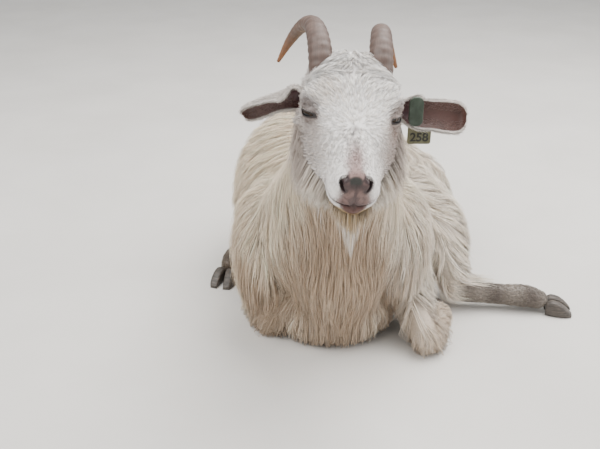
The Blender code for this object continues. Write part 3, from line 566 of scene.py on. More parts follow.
def loft(name, stations, sides=32, steps=8, up=(0, 0, 1), square=2.0):
    """A closed body of oval rings along a smooth path through stations, with a dome on each end."""
    rows = smooth_rows(stations, steps)
    tangents = unit(np.gradient(rows[:, :3], axis=0))
    for end, way in ((0, -1.0), (-1, 1.0)):
        reach = DOME * rows[end, 3:5].min()
        cap = []
        for turn in np.linspace(0.15, 1.35, 9):
            ring = rows[end].copy()
            ring[:3] += way * tangents[end] * reach * math.sin(turn)
            ring[3:5] *= math.cos(turn)
            cap.append(ring)
        direction = np.repeat(tangents[end][None], len(cap), axis=0)
        if end == 0:
            rows = np.vstack([cap[::-1], rows])
            tangents = np.vstack([direction, tangents])
        else:
            rows = np.vstack([rows, cap])
            tangents = np.vstack([tangents, direction])
    across = unit(np.cross(tangents, up))
    upward = np.cross(across, tangents)
    angles = np.arange(sides) * 2 * math.pi / sides
    cosine, sine = np.cos(angles), np.sin(angles)
    cosine = np.sign(cosine) * np.abs(cosine) ** (2 / square)
    sine = np.sign(sine) * np.abs(sine) ** (2 / square)
    rings = rows[:, None, :3] + across[:, None] * (rows[:, 3, None] * cosine)[..., None]
    rings = rings + upward[:, None] * (rows[:, 4, None] * sine)[..., None]
    poles = [rows[0, :3] - tangents[0] * rows[0, 3] * 0.1]
    poles.append(rows[-1, :3] + tangents[-1] * rows[-1, 3] * 0.1)
    points = np.vstack([rings.reshape(-1, 3), poles])
    return mesh_object(name, points, tube_faces(len(rows), sides))


def ellipsoid(name, centre, radii, turn=Matrix.Identity(3), segments=48, rings=32):
    """A closed ellipsoid whose points are always in the same order, so that every run is the same."""
    around = np.arange(segments) * 2 * math.pi / segments
    circle = np.column_stack([np.cos(around), np.sin(around)])
    rows = []
    for angle in np.linspace(0, math.pi, rings + 1)[1:-1]:
        rows.append(np.column_stack([circle * math.sin(angle), np.full(segments, math.cos(angle))]))
    points = np.vstack([*rows, [0.0, 0.0, 1.0], [0.0, 0.0, -1.0]])
    points = (points * radii) @ np.array(turn).T + np.array(centre)
    return mesh_object(name, points, tube_faces(rings - 1, segments))


def mesh_arrays(obj):
    """Vertex places and triangles of an object's mesh, as arrays."""
    mesh = obj.data
    mesh.calc_loop_triangles()
    points = np.empty(len(mesh.vertices) * 3)
    mesh.vertices.foreach_get("co", points)
    corners = np.empty(len(mesh.loop_triangles) * 3, dtype=np.int32)
    mesh.loop_triangles.foreach_get("vertices", corners)
    return points.reshape(-1, 3), corners.reshape(-1, 3)


def head_axes():
    """The head frame's axes as rows: w, s and h."""
    forward = np.array([0.0, -math.cos(HEAD_PITCH), -math.sin(HEAD_PITCH)])
    upward = np.array([0.0, -math.sin(HEAD_PITCH), math.cos(HEAD_PITCH)])
    across = np.array([1.0, 0.0, 0.0])
    left = across * math.cos(HEAD_ROLL) - upward * math.sin(HEAD_ROLL)
    top = upward * math.cos(HEAD_ROLL) + across * math.sin(HEAD_ROLL)
    return np.array([left, forward, top])


HEAD_AXES = head_axes()


def head_point(local):
    return np.array(HEAD_AT) + np.asarray(local, float) @ HEAD_AXES


def head_direction(local):
    return unit(np.asarray(local, float) @ HEAD_AXES)


def to_head(points):
    """Places in the head's own frame."""
    return (np.asarray(points, float) - np.array(HEAD_AT)) @ HEAD_AXES.T


def mirrored(place, side):
    """A place or way of the goat's left side (1), or its match on the right side (-1)."""
    return (place[0] * side, place[1], place[2])


def wrap_lids(points):
    """Draw the skin round each eye in or out so that it lies on the eyeball as lids."""
    for side in (1, -1):
        centre = np.array(eye_place(side))
        axis = unit(mirrored(EYE_AXIS, side))
        away = points - centre
        reach = np.linalg.norm(away, axis=-1, keepdims=True)
        ways = away / (reach + 1e-9)
        angle = np.arccos(np.clip(ways @ axis, -1, 1))[..., None]
        near = 1 - smoothstep(*LID_ANGLES, angle)
        near = near * (1 - smoothstep(*LID_REACH, reach))
        target = centre + ways * (EYE_RADIUS + LID_THICKNESS)
        points = points + (target - points) * near
    return points


def head_grid():
    """Points of the head's skin in its own frame, as rings from the poll to the nose."""
    span = np.linspace(0.0, 1.0, HEAD_RINGS)
    s = HEAD_BACK + (HEAD_FRONT - HEAD_BACK) * (span - 0.10 * np.sin(2 * math.pi * span) / math.pi)
    s[-1] -= 0.0002
    s[0] += 0.0002
    table = smooth_rows(HEAD_STATIONS, 12)
    width, top, under, side = (np.interp(s, table[:, 0], table[:, k]) for k in range(1, 5))
    front = np.clip((s - (HEAD_FRONT - HEAD_FRONT_ROUNDING)) / HEAD_FRONT_ROUNDING, 0, 1)
    back = np.clip((HEAD_BACK + HEAD_BACK_ROUNDING - s) / HEAD_BACK_ROUNDING, 0, 1)
    closing = (1 - front**2.6) ** (1 / 2.4) * (1 - back**2.4) ** (1 / 2.4)
    turn = np.arange(HEAD_SECTORS) * 2 * math.pi / HEAD_SECTORS
    turn = turn - SECTOR_CROWDING * np.sin(2 * turn) / 2
    cosine, sine = np.cos(turn), np.sin(turn)
    squareness = np.interp(s, (-0.10, -0.03, 0.03, 0.09), (0.85, 0.74, 0.80, 0.90))[:, None]
    round_cosine = np.sign(cosine) * np.abs(cosine) ** squareness
    height = np.where(sine > 0, (top - side)[:, None], (side - under)[:, None]) * sine
    narrowing = 1 - 0.16 * np.clip(-sine, 0, 1) ** 2
    w = (width * closing)[:, None] * round_cosine * narrowing
    h = side[:, None] + closing[:, None] * height
    s = s[:, None] + np.zeros_like(w)
    grid = np.stack([w, s, h], axis=-1)
    along = np.gradient(grid, axis=0)
    around = np.roll(grid, -1, axis=1) - np.roll(grid, 1, axis=1)
    normal = unit(np.cross(around, along))
    normal *= np.sign(np.sum(normal * (grid - HEAD_MIDDLE), axis=-1, keepdims=True))
    rise = np.zeros(grid.shape[:2])
    for mass_w, mass_s, mass_h, reach, amount in HEAD_MASSES:
        away = (np.abs(grid[..., 0]) - mass_w) ** 2 + (grid[..., 1] - mass_s) ** 2
        away = away + (grid[..., 2] - mass_h) ** 2
        rise += amount * np.exp(-away / (2 * (reach * 0.6) ** 2))
    lips = np.clip((grid[..., 1] - MOUTH_CORNER) / 0.010, 0, 1)
    off_line = grid[..., 2] - side[:, None]
    rise -= MOUTH_DEPTH * lips * np.exp(-((off_line / MOUTH_HALF_WIDTH) ** 2))
    rise += LIP_RISE * lips * np.exp(-(((np.abs(off_line) - 0.0050) / 0.0032) ** 2))
    philtrum = np.exp(-((grid[..., 0] / 0.0016) ** 2)) * smoothstep(0.128, 0.140, grid[..., 1])
    philtrum *= smoothstep(0.0, -0.008, off_line - 0.040) * (off_line > 0)
    rise -= PHILTRUM_DEPTH * philtrum
    return wrap_lids(grid + normal * rise[..., None])


def head_loft(name):
    grid = head_grid()
    ends = np.array([[0.0, HEAD_BACK, -0.030], [0.0, HEAD_FRONT - 0.003, -0.023]])
    points = head_point(np.vstack([grid.reshape(-1, 3), ends]))
    return mesh_object(name, points, tube_faces(HEAD_RINGS, HEAD_SECTORS))


def eye_place(side):
    """The middle of an eyeball in the head's frame: the goat's right one sits a little higher."""
    rise = RIGHT_EYE_RISE if side < 0 else 0.0
    return (EYE_AT[0] * side, EYE_AT[1], EYE_AT[2] + rise)


def eye_centre(side):
    return head_point(eye_place(side))


def eye_turn(side):
    """A rotation whose Z points out of the eye and whose X runs along the lids to the inner corner."""
    axis = Vector(head_direction(mirrored(EYE_AXIS, side)))
    along = Vector(head_direction((-0.45 * side, 0.90, 0.0)))
    along = (along - along.dot(axis) * axis).normalized()
    across = axis.cross(along)
    turn = Matrix((along, across, axis)).transposed()
    return turn @ Matrix.Rotation(EYE_SLANT * side, 3, "Z")


def opening_centre(side):
    """The middle of the gap between the lids."""
    turn = eye_turn(side)
    return Vector(eye_centre(side)) + turn.col[2] * EYE_RADIUS + Vector((0, 0, OPENING_RISE))


def cut_face(skin):
    """Open the lids over the eyeballs, and the nostrils."""
    for side in (1, -1):
        centre = eye_centre(side)
        turn = eye_turn(side)
        boolean(skin, ellipsoid("socket", centre, (EYE_RADIUS + GAP,) * 3, turn), "DIFFERENCE")
        boolean(skin, ellipsoid("opening", opening_centre(side), EYE_OPENING, turn), "DIFFERENCE")
        stations = [(*head_point((w * side, s, h)), across, along) for w, s, h, across, along in NOSTRIL]
        nostril = loft("nostril", stations, sides=20, steps=6, up=head_direction((0, 1, 0)))
        boolean(skin, nostril, "DIFFERENCE")


def make_skin():
    """One closed skin of trunk, neck, legs, tail and head, kept above the floor."""
    pieces = [
        loft("trunk_loft", TRUNK, sides=64, square=2.25),
        loft("neck_loft", NECK, sides=48, up=(1, 0, 0)),
    ]
    for stations in (LEFT_SHANK, TAIL, LEFT_FOREARM, RIGHT_FOREARM, *CANNONS.values()):
        pieces.append(loft("limb_loft", stations))
    for centre, radii, degrees in MASSES:
        turn = Matrix.Rotation(math.radians(degrees), 3, "Z")
        pieces.append(ellipsoid("mass", centre, radii, turn))
    points, faces = [], []
    for piece in pieces:
        start = len(points)
        points += [v.co.copy() for v in piece.data.vertices]
        faces += [tuple(start + i for i in p.vertices) for p in piece.data.polygons]
    drop(*pieces)
    skin = mesh_object("skin", points, faces)
    remesh = skin.modifiers.new("skin", "REMESH")
    remesh.mode = "VOXEL"
    remesh.voxel_size = SKIN_VOXEL
    relax = skin.modifiers.new("relax", "SMOOTH")
    relax.factor = 0.5
    relax.iterations = SKIN_SMOOTHING
    settle(skin)
    places, _ = mesh_arrays(skin)
    places[:, 2] = np.maximum(places[:, 2], FLOOR_CLEARANCE)
    skin.data.vertices.foreach_set("co", places.ravel())
    boolean(skin, head_loft("head_loft"), "UNION")
    cut_face(skin)
    skin.data.shade_smooth()
    return skin


def wave(points, scale, phase):
    """A smooth pattern between -1 and 1, made of a few waves in space."""
    x, y, z = (np.asarray(points, float) / scale).T
    found = np.sin(x * 1.9 + 1.3 * np.sin(y * 1.1 + phase) + phase)
    found += np.sin(y * 2.3 + 1.1 * np.sin(z * 1.3 - phase) + 2.1 * phase)
    found += np.sin(z * 1.7 + 1.2 * np.sin(x * 1.5 + 0.7 * phase) - phase)
    return found / 3


def coat_flow(points, normals):
    """The way the coat lies: back along the spine, off it to the sides, and down everywhere."""
    index, tangents, side = nearest_on_spine(points)
    across = np.clip(np.sum((points - SPINE[index]) * side, axis=1) / 0.045, -1, 1)
    trunk = np.clip((points[:, 1] + 0.13) / 0.15, 0, 1)
    upward = np.clip(normals[:, 2], 0, 1)
    outward = across * (0.75 * upward + 0.25 * trunk)
    backward = 0.06 + 0.28 * trunk + 0.9 * upward * (1 - across**2)
    ways = side * outward[:, None] - tangents * backward[:, None] - [0.0, 0.0, 1.0]
    ways[:, 0] += 0.20 * wave(points, 0.060, 1.0)
    ways[:, 1] += 0.20 * wave(points, 0.050, 2.0)
    leg = leg_share(points) * (1 - fore_share(points))
    _, along = nearest_on_legs(points)
    ways = ways * (1 - leg[:, None]) + along * leg[:, None]
    return laid(ways, normals)


def laid(ways, normals):
    """Ways turned into the skin's surface."""
    return unit(ways - np.sum(ways * normals, axis=1, keepdims=True) * normals)


# The middle lines of the bare cannons, each with its radius
LEG_LINES = [smooth_rows(stations, 6) for stations in CANNONS.values()]


def nearest_on_legs(points):
    """Distance beyond each leg's surface and the way along it, for the nearest leg."""
    best = np.full(len(points), 1e9)
    way = np.zeros((len(points), 3))
    for rows in LEG_LINES:
        tangents = unit(np.gradient(rows[:, :3], axis=0))
        away = np.linalg.norm(points[:, None] - rows[None, :, :3], axis=2) - rows[None, :, 4]
        index = away.argmin(axis=1)
        found = away[np.arange(len(points)), index]
        nearer = found < best
        best[nearer] = found[nearer]
        way[nearer] = tangents[index[nearer]]
    return best, way


def leg_share(points):
    """1 on the bare cannons, 0 on the body."""
    away, _ = nearest_on_legs(points)
    share = 1 - smoothstep(0.006, 0.022, away)
    return share * (points[:, 2] < 0.085)


def fore_share(points):
    """1 round the folded forelegs, 0 round the hind legs."""
    return smoothstep(0.060, 0.020, points[:, 1]) * smoothstep(0.262, 0.245, np.abs(points[:, 0]))


def head_share(points):
    """1 in front of the plane where the head meets the neck, 0 behind it."""
    away = (np.asarray(points) - HEAD_CUT_AT) @ unit(HEAD_CUT_NORMAL)
    return smoothstep(-0.010, 0.010, away)


def head_flow(points, normals):
    """The way the face's hair lies: from a whorl on the forehead down the nose, the cheeks and the jaw."""
    local = to_head(points)
    w, s, h = local.T
    side = np.sign(w)
    upward = normals @ head_direction((0, 0, 1))
    top = smoothstep(0.15, 0.75, upward)
    crown = smoothstep(-0.015, -0.055, s)
    forward = np.clip((s - WHORL_AT) / 0.030, -1, 1)
    spread = side * np.clip(np.abs(w) / 0.035, 0, 1) * (0.9 - 0.5 * smoothstep(0.03, 0.09, s))
    over = np.column_stack([spread, forward * (1 - crown) + 0.6 * crown, 0 * h])
    down = np.column_stack([0.1 * side, -0.85 + 0.4 * smoothstep(0.06, 0.12, s), -0.75 + 0 * h])
    ways = over * top[:, None] + down * (1 - top[:, None])
    ways[:, 0] += 0.10 * wave(points, 0.022, 3.0)
    ways[:, 1] += 0.08 * wave(points, 0.020, 4.0)
    ways = ways @ HEAD_AXES
    under = smoothstep(-0.2, -0.8, upward)[:, None]
    return laid(ways * (1 - under) + np.array([0.0, 0.1, -1.0]) * under, normals)


def eye_reach(local, half_sizes):
    """How far a place of the face is from the nearer eye's opening, in these half sizes."""
    side = np.where(local[:, 0] >= 0, 1.0, -1.0)
    found = np.empty(len(local))
    for way in (1, -1):
        chosen = side == way
        seen = (head_point(local[chosen]) - np.array(opening_centre(way))) @ np.array(eye_turn(way))
        found[chosen] = np.linalg.norm(seen / np.array(half_sizes), axis=1)
    return found


def opening_distance(local):
    return eye_reach(local, (EYE_OPENING[0], EYE_OPENING[1], 0.020))


def over_nose(s, h):
    """How far down over the rounded tip of the nose a place lies."""
    return 0.829 * s - 0.559 * h


def bare_share(points):
    """1 on the bare skin of the nose, the lips and the lids, 0 on the haired face."""
    local = to_head(points)
    w, s, h = local.T
    over = over_nose(s, h)
    below = h - mouth_height(s)
    half_width = np.interp(over, *zip(*BARE_NOSE)) * (1 + 0.10 * wave(local, 0.006, 0.4))
    fade = 0.12 + 0.22 * smoothstep(0.112, 0.120, over)
    nose = smoothstep(1 + fade, 1 - fade, np.abs(w) / half_width) * smoothstep(0.076, 0.095, over)
    nose = nose * smoothstep(0.105, 0.112, s) * smoothstep(-0.0010, 0.0010, below)
    lower = np.sqrt((w / LOWER_LIP[0]) ** 2 + (below / LOWER_LIP[1]) ** 2)
    lower = smoothstep(1.12, 0.88, lower) * (below < 0.001) * smoothstep(0.105, 0.115, s)
    corners = smoothstep(0.0024, 0.0010, np.abs(below)) * smoothstep(0.102, 0.114, s)
    lids = smoothstep(2.1, 1.5, opening_distance(local))
    return np.maximum.reduce([nose, lower, corners, lids]) * head_share(points)


def mouth_height(s):
    table = smooth_rows(HEAD_STATIONS, 12)
    return np.interp(s, table[:, 0], table[:, 4])


def body_style(points, normals):
    """Length, half width, lift, clumping and cover of the coat behind the head."""
    y, z = points[:, 1], points[:, 2]
    ruff = smoothstep(0.10, -0.06, y)
    top = smoothstep(0.45, 0.9, normals[:, 2])
    leg = leg_share(points)
    length = 0.086 + 0.074 * ruff - 0.016 * top * (1 - ruff)
    length = length * (1 - 0.8 * leg)
    width = np.full(len(points), 0.00068)
    lift = (0.0115 + 0.002 * ruff) * (1 - 0.8 * leg)
    clumping = 0.66 - 0.12 * ruff
    cover = (1 - leg) * (z > 0.006) * (1 - head_share(points))
    cover = cover * np.where((normals[:, 2] < -0.75) & (z < 0.03), 0.0, 1.0)
    return length, width, lift, clumping, cover


def leg_style(points, normals):
    """Length, half width, lift, clumping and cover of the short hair of the cannons."""
    fore = fore_share(points)
    cover = leg_share(points) * (points[:, 2] > 0.003)
    clumping = np.full(len(points), 0.25)
    return 0.0120 + 0.018 * fore, 0.00045 + 0.00015 * fore, 0.0016 + 0.0035 * fore, clumping, cover


def head_style(points, normals):
    """Length, half width, lift, clumping and cover of the face's hair."""
    local = to_head(points)
    w, s, h = local.T
    length = np.interp(s, *zip(*FACE_HAIR))
    jaw = smoothstep(-0.030, -0.080, h) * smoothstep(0.125, 0.060, s)
    cheek = smoothstep(0.000, -0.040, h) * smoothstep(0.125, 0.070, s) * smoothstep(0.018, 0.040, np.abs(w))
    length = length + 0.012 * jaw + 0.020 * cheek
    length = length * (0.35 + 0.65 * smoothstep(1.5, 4.0, opening_distance(local)))
    lift = np.interp(length, (0.004, 0.010, 0.030, 0.060), (0.0006, 0.0012, 0.0055, 0.0090))
    poll = smoothstep(0.015, -0.020, s) * smoothstep(-0.075, -0.045, s)
    lift = lift * (1 + poll * (0.7 + 0.9 * wave(local, 0.016, 1.2)))
    width = np.interp(length, (0.004, 0.015, 0.040), (0.00034, 0.00046, 0.00070))
    clumping = np.interp(length, (0.005, 0.020), (0.10, 0.50))
    cover = (1 - bare_share(points)) * head_share(points)
    return length, width, lift, clumping, cover


def coat_colour(points, normals):
    """The coat's markings: a cool white head, cream body, beige chest and grey-brown hind cannons, with
    painted shade on the forward-facing chest, under the jaw and low on the forelegs.
    """
    x, y, z = points.T
    # Painted shade over the chest's own beige, where the chest faces forward
    chest = smoothstep(-0.25, -0.75, normals[:, 1]) * smoothstep(0.54, 0.40, z) * smoothstep(0.165, 0.090, x)
    # Painted shade on the downward-facing neck hair under the jaw
    jaw_shadow = smoothstep(-0.17, -0.25, y) * smoothstep(0.30, -0.30, normals[:, 2])
    streak = smoothstep(0.15, 0.85, wave(points * [1, 1, 0.35], 0.014, 5.0)) * (0.20 + 0.35 * chest)
    # Painted shade low on the folded forelegs, near the floor
    fore = fore_share(points) * smoothstep(0.150, 0.060, z) * smoothstep(0.08, 0.14, x)
    right_hind = smoothstep(0.36, 0.33, y) * (y > 0.17)
    hind = leg_share(points) * np.maximum(smoothstep(0.262, 0.300, x), right_hind)
    mottled = 0.82 + 0.16 * wave(points, 0.022, 3.5)
    return paint(
        mix(CREAM, PALE, smoothstep(0.02, 0.12, x)),
        (CHEST_SHADE, 0.80 * chest),
        (CHEST_SHADE, 0.55 * jaw_shadow),
        (BROWNISH, 0.45 * streak),
        (face_colour(to_head(points)), head_share(points)),
        (CHEST_SHADE, 0.55 * fore),
        (LEG_BROWN, mottled * hind),
    )


def face_colour(local):
    """The hair of the face: white, shaded round the eyes, pinkish down the nose and stained at the chin."""
    w, s, h = local.T
    wide, top = np.abs(w), h > 0
    reach = 0.015 + 0.007 * smoothstep(0.075, 0.105, s)
    reach = reach * (1 + 0.35 * wave(local, 0.010, 4.4))
    bridge = smoothstep(1.0, 0.15, wide / reach) * smoothstep(0.045, 0.100, s) * top
    horn_stain = smoothstep(0.030, 0.010, np.hypot(w + 0.034, s + 0.004)) * top
    speckles = smoothstep(0.35, 0.80, wave(local, 0.0032, 1.5)) * smoothstep(0.020, 0.006, wide)
    speckles = speckles * smoothstep(0.040, 0.055, s) * top
    whorl = smoothstep(0.0085, 0.0025, np.hypot(w, s - WHORL_AT - 0.006)) * top
    around = smoothstep(1.05, 0.42, eye_reach(local - [0.0, 0.0, EYE_SHADOW_RISE], EYE_SHADOW))
    # Painted shade on the sides of the face, deeper on the goat's left cheek, which faces away from the key
    # light
    side = smoothstep(0.022, 0.052, wide) * smoothstep(0.14, 0.04, s) * smoothstep(-0.075, -0.020, h)
    side = side * smoothstep(0.032, 0.010, h) * (1 + 0.25 * wave(local, 0.020, 2.5))
    stain = smoothstep(-0.026, -0.036, h) * smoothstep(0.075, 0.095, s) * smoothstep(0.034, 0.020, wide)
    lips = smoothstep(0.0085, 0.0020, np.abs(h - mouth_height(s) - 0.002)) * smoothstep(0.094, 0.108, s)
    return paint(
        WHITE,
        (PINK_SKIN, 0.92 * bridge),
        (STAIN, 0.16 * horn_stain),
        (EYE_SHADE, 0.50 * speckles),
        (EYE_SHADE, 0.70 * whorl),
        (EYE_SHADE, 0.90 * around),
        (np.array(EYE_SHADE) * 0.6, 0.80 * tear_line(local)),
        (CHEEK_SHADE, (0.60 + 0.35 * (w > 0)) * side),
        (STAIN, 0.90 * stain),
        (EYE_SHADE, (0.50 + 0.25 * wave(local, 0.0030, 6.1)) * lips),
    )


def tear_line(local):
    """1 on the dark line that runs from the inner corner of each eye towards the nose."""
    found = np.zeros(len(local))
    for side in (1, -1):
        corner = np.array(opening_centre(side)) + np.array(eye_turn(side))[:, 0] * EYE_OPENING[0]
        start = to_head(corner)
        run = np.array([-0.010 * side, 0.020, -0.001])
        share = np.clip((local - start) @ run / (run @ run), 0, 1)
        away = np.linalg.norm(local - start - share[:, None] * run, axis=1)
        found = np.maximum(found, smoothstep(0.0040, 0.0012, away) * (1 - 0.6 * share))
    return found


def skin_colour(points, normals):
    """The skin takes the coat's markings, darker as an undercoat and as painted shade between the hairs,
    most under the body's coat, and its own colours where it is bare.
    """
    colour = coat_colour(points, normals) * (0.68 + 0.24 * head_share(points))[:, None]
    local = to_head(points)
    return mix(colour, bare_colour(local), bare_share(points))


def bare_colour(local):
    """Bare skin: a pinkish nose with a dark pad and nostrils, speckled lips, red lower lip, dark lids."""
    w, s, h = local.T
    wide, tip = np.abs(w), s > 0.12
    over, below = over_nose(s, h), h - mouth_height(s)
    speckle = smoothstep(-0.05, 0.35, wave(local, 0.0030, 0.7)) * smoothstep(0.108, 0.116, over)
    middle_w, middle, half_w, half = NOSE_PAD
    pad = np.sqrt(((w - middle_w) / half_w) ** 2 + ((over - middle) / half) ** 2)
    pad = pad + 0.10 * wave(local, 0.0045, 2.2)
    wing = smoothstep(0.0085, 0.0050, np.abs(over - 0.1050)) * smoothstep(0.022, 0.016, wide) * tip
    band = smoothstep(0.0055, 0.0025, np.abs(over - 0.1115)) * smoothstep(0.019, 0.012, wide)
    spread = 0.0022 + 0.0045 * smoothstep(0.120, 0.136, over)
    groove = smoothstep(1.4, 0.7, wide / spread) * smoothstep(0.114, 0.120, over)
    path = smooth_rows([row[:3] for row in NOSTRIL], 6)
    flat = np.array([1.0, 0.35, 1.0])
    away = np.column_stack([wide, s, h]) * flat
    away = np.linalg.norm(away[:, None] - (path * flat)[None], axis=2).min(axis=1)
    mouth = smoothstep(0.0020, 0.0008, np.abs(below)) * smoothstep(0.090, 0.096, s)
    dark = np.array(NOSTRIL_DARK)
    return paint(
        mix(PINK_SKIN, LIP_SKIN, smoothstep(0.098, 0.112, over)),
        (dark * 1.8, 0.72 * speckle),
        (dark * 1.3, (0.60 + 0.25 * wave(local, 0.0035, 5.2)) * wing),
        (NOSE_GREY, smoothstep(1.25, 0.80, pad) * tip),
        (dark * 1.2, 0.80 * band),
        (dark * 1.5, 0.78 * groove * smoothstep(-0.001, 0.001, below)),
        (LIP_RED, 0.85 * smoothstep(0.0022, -0.0005, below)),
        (dark, smoothstep(0.0056, 0.0034, away)),
        (dark, 0.8 * mouth),
        (DARK_SKIN, smoothstep(2.6, 1.5, opening_distance(local))),
    )


def nearest_many(tree, targets):
    places, normals = np.empty_like(targets), np.empty_like(targets)
    for index, target in enumerate(targets):
        place, normal, _, _ = tree.find_nearest(target)
        places[index], normals[index] = place, normal
    return places, normals


def tree_of(obj):
    shape = bmesh.new()
    shape.from_mesh(obj.data)
    tree = BVHTree.FromBMesh(shape)
    shape.free()
    return tree


def sample_surface(points, corners, density, chance):
    """Places spread by area over triangles, with their normals."""
    a, b, c = points[corners[:, 0]], points[corners[:, 1]], points[corners[:, 2]]
    cross = np.cross(b - a, c - a)
    area = np.linalg.norm(cross, axis=1) / 2
    count = int(area.sum() * density)
    chosen = chance.choice(len(area), count, p=area / area.sum())
    u, v = chance.random(count), chance.random(count)
    over = u + v > 1
    u[over], v[over] = 1 - u[over], 1 - v[over]
    places = a[chosen] + (b[chosen] - a[chosen]) * u[:, None] + (c[chosen] - a[chosen]) * v[:, None]
    return places, unit(cross[chosen])


def one_per_cell(points, spacing):
    """Indices of one point in each cell of this size."""
    _, index = np.unique(np.floor(points / spacing).astype(int), axis=0, return_index=True)
    return index


def nearest_of(centres, places):
    """Index of the nearest centre, for each place."""
    finder = KDTree(len(centres))
    for index, centre in enumerate(centres):
        finder.insert(centre, index)
    finder.balance()
    return np.array([finder.find(place)[1] for place in places])


def walk(tree, points, normals, flow, lengths, steps):
    """Paths over the skin that follow the lie of the coat, with the skin's normals on them."""
    path, outward = [points], [normals]
    for _ in range(steps):
        ways = flow(points, normals)
        points, normals = nearest_many(tree, points + ways * lengths[:, None] / steps)
        path.append(points)
        outward.append(normals)
    return np.stack(path, axis=1), np.stack(outward, axis=1)


def read_path(path, shares):
    """Rows of a path at fractional shares of it, one set of shares for each path."""
    last = path.shape[1] - 1
    place = np.clip(shares, 0, 1) * last
    low = np.minimum(place.astype(int), last - 1)
    part = (place - low)[..., None]
    index = np.arange(len(path))[:, None]
    return path[index, low] * (1 - part) + path[index, low + 1] * part


def grow_coat(name, surface, tree, style, flow, density, spacing, rings, slot):
    """Clumped strands of solid mesh over part of the skin."""
    chance = np.random.default_rng(SEEDS[name])
    roots, normals = sample_surface(*surface, density, chance)
    cover = style(roots, normals)[-1]
    kept = chance.random(len(roots)) < cover
    roots, normals = roots[kept], normals[kept]
    centres = one_per_cell(roots, spacing)
    clumps = style(roots[centres], normals[centres])
    lengths = clumps[0] * chance.uniform(0.75, 1.25, len(centres))
    path, outward = walk(tree, roots[centres], normals[centres], flow, lengths, COAT_PATH_STEPS)
    owner = nearest_of(roots[centres], roots)
    length, half_width, lift, clumping, _ = (values[owner] for values in clumps)
    count = len(roots)
    rings = np.array([*rings, 1.0])
    shares = rings[None] * chance.uniform(0.70, 1.08, count)[:, None]
    middle = read_path(path[owner], shares)
    outs = unit(read_path(outward[owner], shares))
    along = unit(np.gradient(middle, axis=1))
    across = unit(np.cross(along, outs))
    offset = roots - path[owner, 0]
    far = np.linalg.norm(offset, axis=1) / (spacing * 0.75)
    gather = clumping[:, None] * smoothstep(0.0, 1.1, shares)
    crown = (1.15 - 0.55 * np.clip(far, 0, 1) ** 2) * chance.uniform(0.55, 1.25, count)
    clump_lift = chance.uniform(0.75, 1.30, len(centres))[owner]
    height = (lift * crown * clump_lift)[:, None] * np.sin(np.clip(shares, 0, 1.05) * 1.75)
    height[:, 0] = -COAT_ROOT_DEPTH
    bend = length * chance.normal(0, 0.045, count)
    curl = length * 0.018 * np.sin(chance.uniform(0, 6.28, len(centres)))[owner]
    sway = bend[:, None] * shares**1.5 + curl[:, None] * np.sin(shares * 5.0 + owner[:, None])
    centre = middle + offset[:, None] * (1 - gather)[..., None]
    centre += outs * height[..., None] + across * sway[..., None]
    centre[..., 2] = np.maximum(centre[..., 2], FLOOR_CLEARANCE + 0.002 * chance.random(count)[:, None])
    width = half_width[:, None] * np.interp(rings[:-1], LONG_RINGS, COAT_WIDTHS)[None]
    width = width * chance.uniform(0.8, 1.2, count)[:, None]
    tone = chance.normal(1.0, 0.045, count) * chance.normal(1.0, 0.040, len(centres))[owner]
    warm = chance.normal(0.0, 0.02, count)
    base = coat_colour(roots, normals) * tone[:, None]
    base = base * np.column_stack([1 + warm, np.ones(count), 1 - 1.5 * warm])
    colours = shaded_along(base, rings, COAT_SHADE_TONES)
    return strand_pieces(name, centre, across, outs, width, colours, unwrap(roots), slot)


def shaded_along(tints, rings, tones):
    """The colour of each strand on each of its rings, with painted shade that makes it darker at the root
    than at the tip.
    """
    tone = np.interp(rings, (*LONG_RINGS, 1.0), tones)
    return np.clip(tints[:, None] * tone[None, :, None], 0, BRIGHTEST)


def unwrap(points):
    """Where places of the skin lie on its own unwrap: along a line from rump to nose, and round it."""
    index, tangents, side = nearest_on_spine(points)
    offset = points - SPINE[index]
    upward = np.cross(side, tangents)
    angle = np.arctan2(np.sum(offset * side, axis=1), np.sum(offset * upward, axis=1))
    step = np.clip(np.sum(offset * tangents, axis=1) / SPINE_STEP, -0.5, 0.5)
    along = (index + step + 0.5) / len(SPINE)
    return np.column_stack([angle / (2 * math.pi) + 0.5, along]) * 0.98 + 0.01


def nearest_on_spine(points):
    """Index of the nearest point of the middle line, with the ways to the nose and to the side there."""
    blocks = np.array_split(points, len(points) // 4000 + 1)
    index = [np.linalg.norm(block[:, None] - SPINE[None], axis=2).argmin(axis=1) for block in blocks]
    index = np.concatenate(index)
    tangents = unit(np.gradient(SPINE, axis=0))[index]
    return index, tangents, unit(np.cross(tangents, [0, 0, 1.0]))


def spine_line():
    """Points at even steps along the middle of the body, from the rump to the nose."""
    rows = [row[:3] for row in TRUNK[::-1]] + [row[:3] for row in NECK[-2::-1]]
    rows += [tuple(head_point((0, s, -0.025))) for s in (0.0, 0.08, HEAD_FRONT)]
    line = smooth_rows(rows, 12)
    reach = np.concatenate([[0], np.cumsum(np.linalg.norm(np.diff(line, axis=0), axis=1))])
    even = np.arange(0, reach[-1], SPINE_STEP)
    return np.column_stack([np.interp(even, reach, line[:, k]) for k in range(3)])


def strand_pieces(name, centre, across, outs, width, colours, patches, slot):
    """Objects of strands with triangular sections, each object under the limit of triangles."""
    count, rings = width.shape
    each = 6 * rings - 2
    limit = PIECE_TRIANGLES // each
    order = np.argsort(patches[:, 1], kind="stable")
    made = []
    for part, start in enumerate(range(0, count, limit)):
        chosen = order[start:start + limit]
        label = f"{name}_{part + 1}"
        rows = [values[chosen] for values in (centre, across, outs, width, colours, patches)]
        made.append(strand_object(label, *rows, slot))
    return made


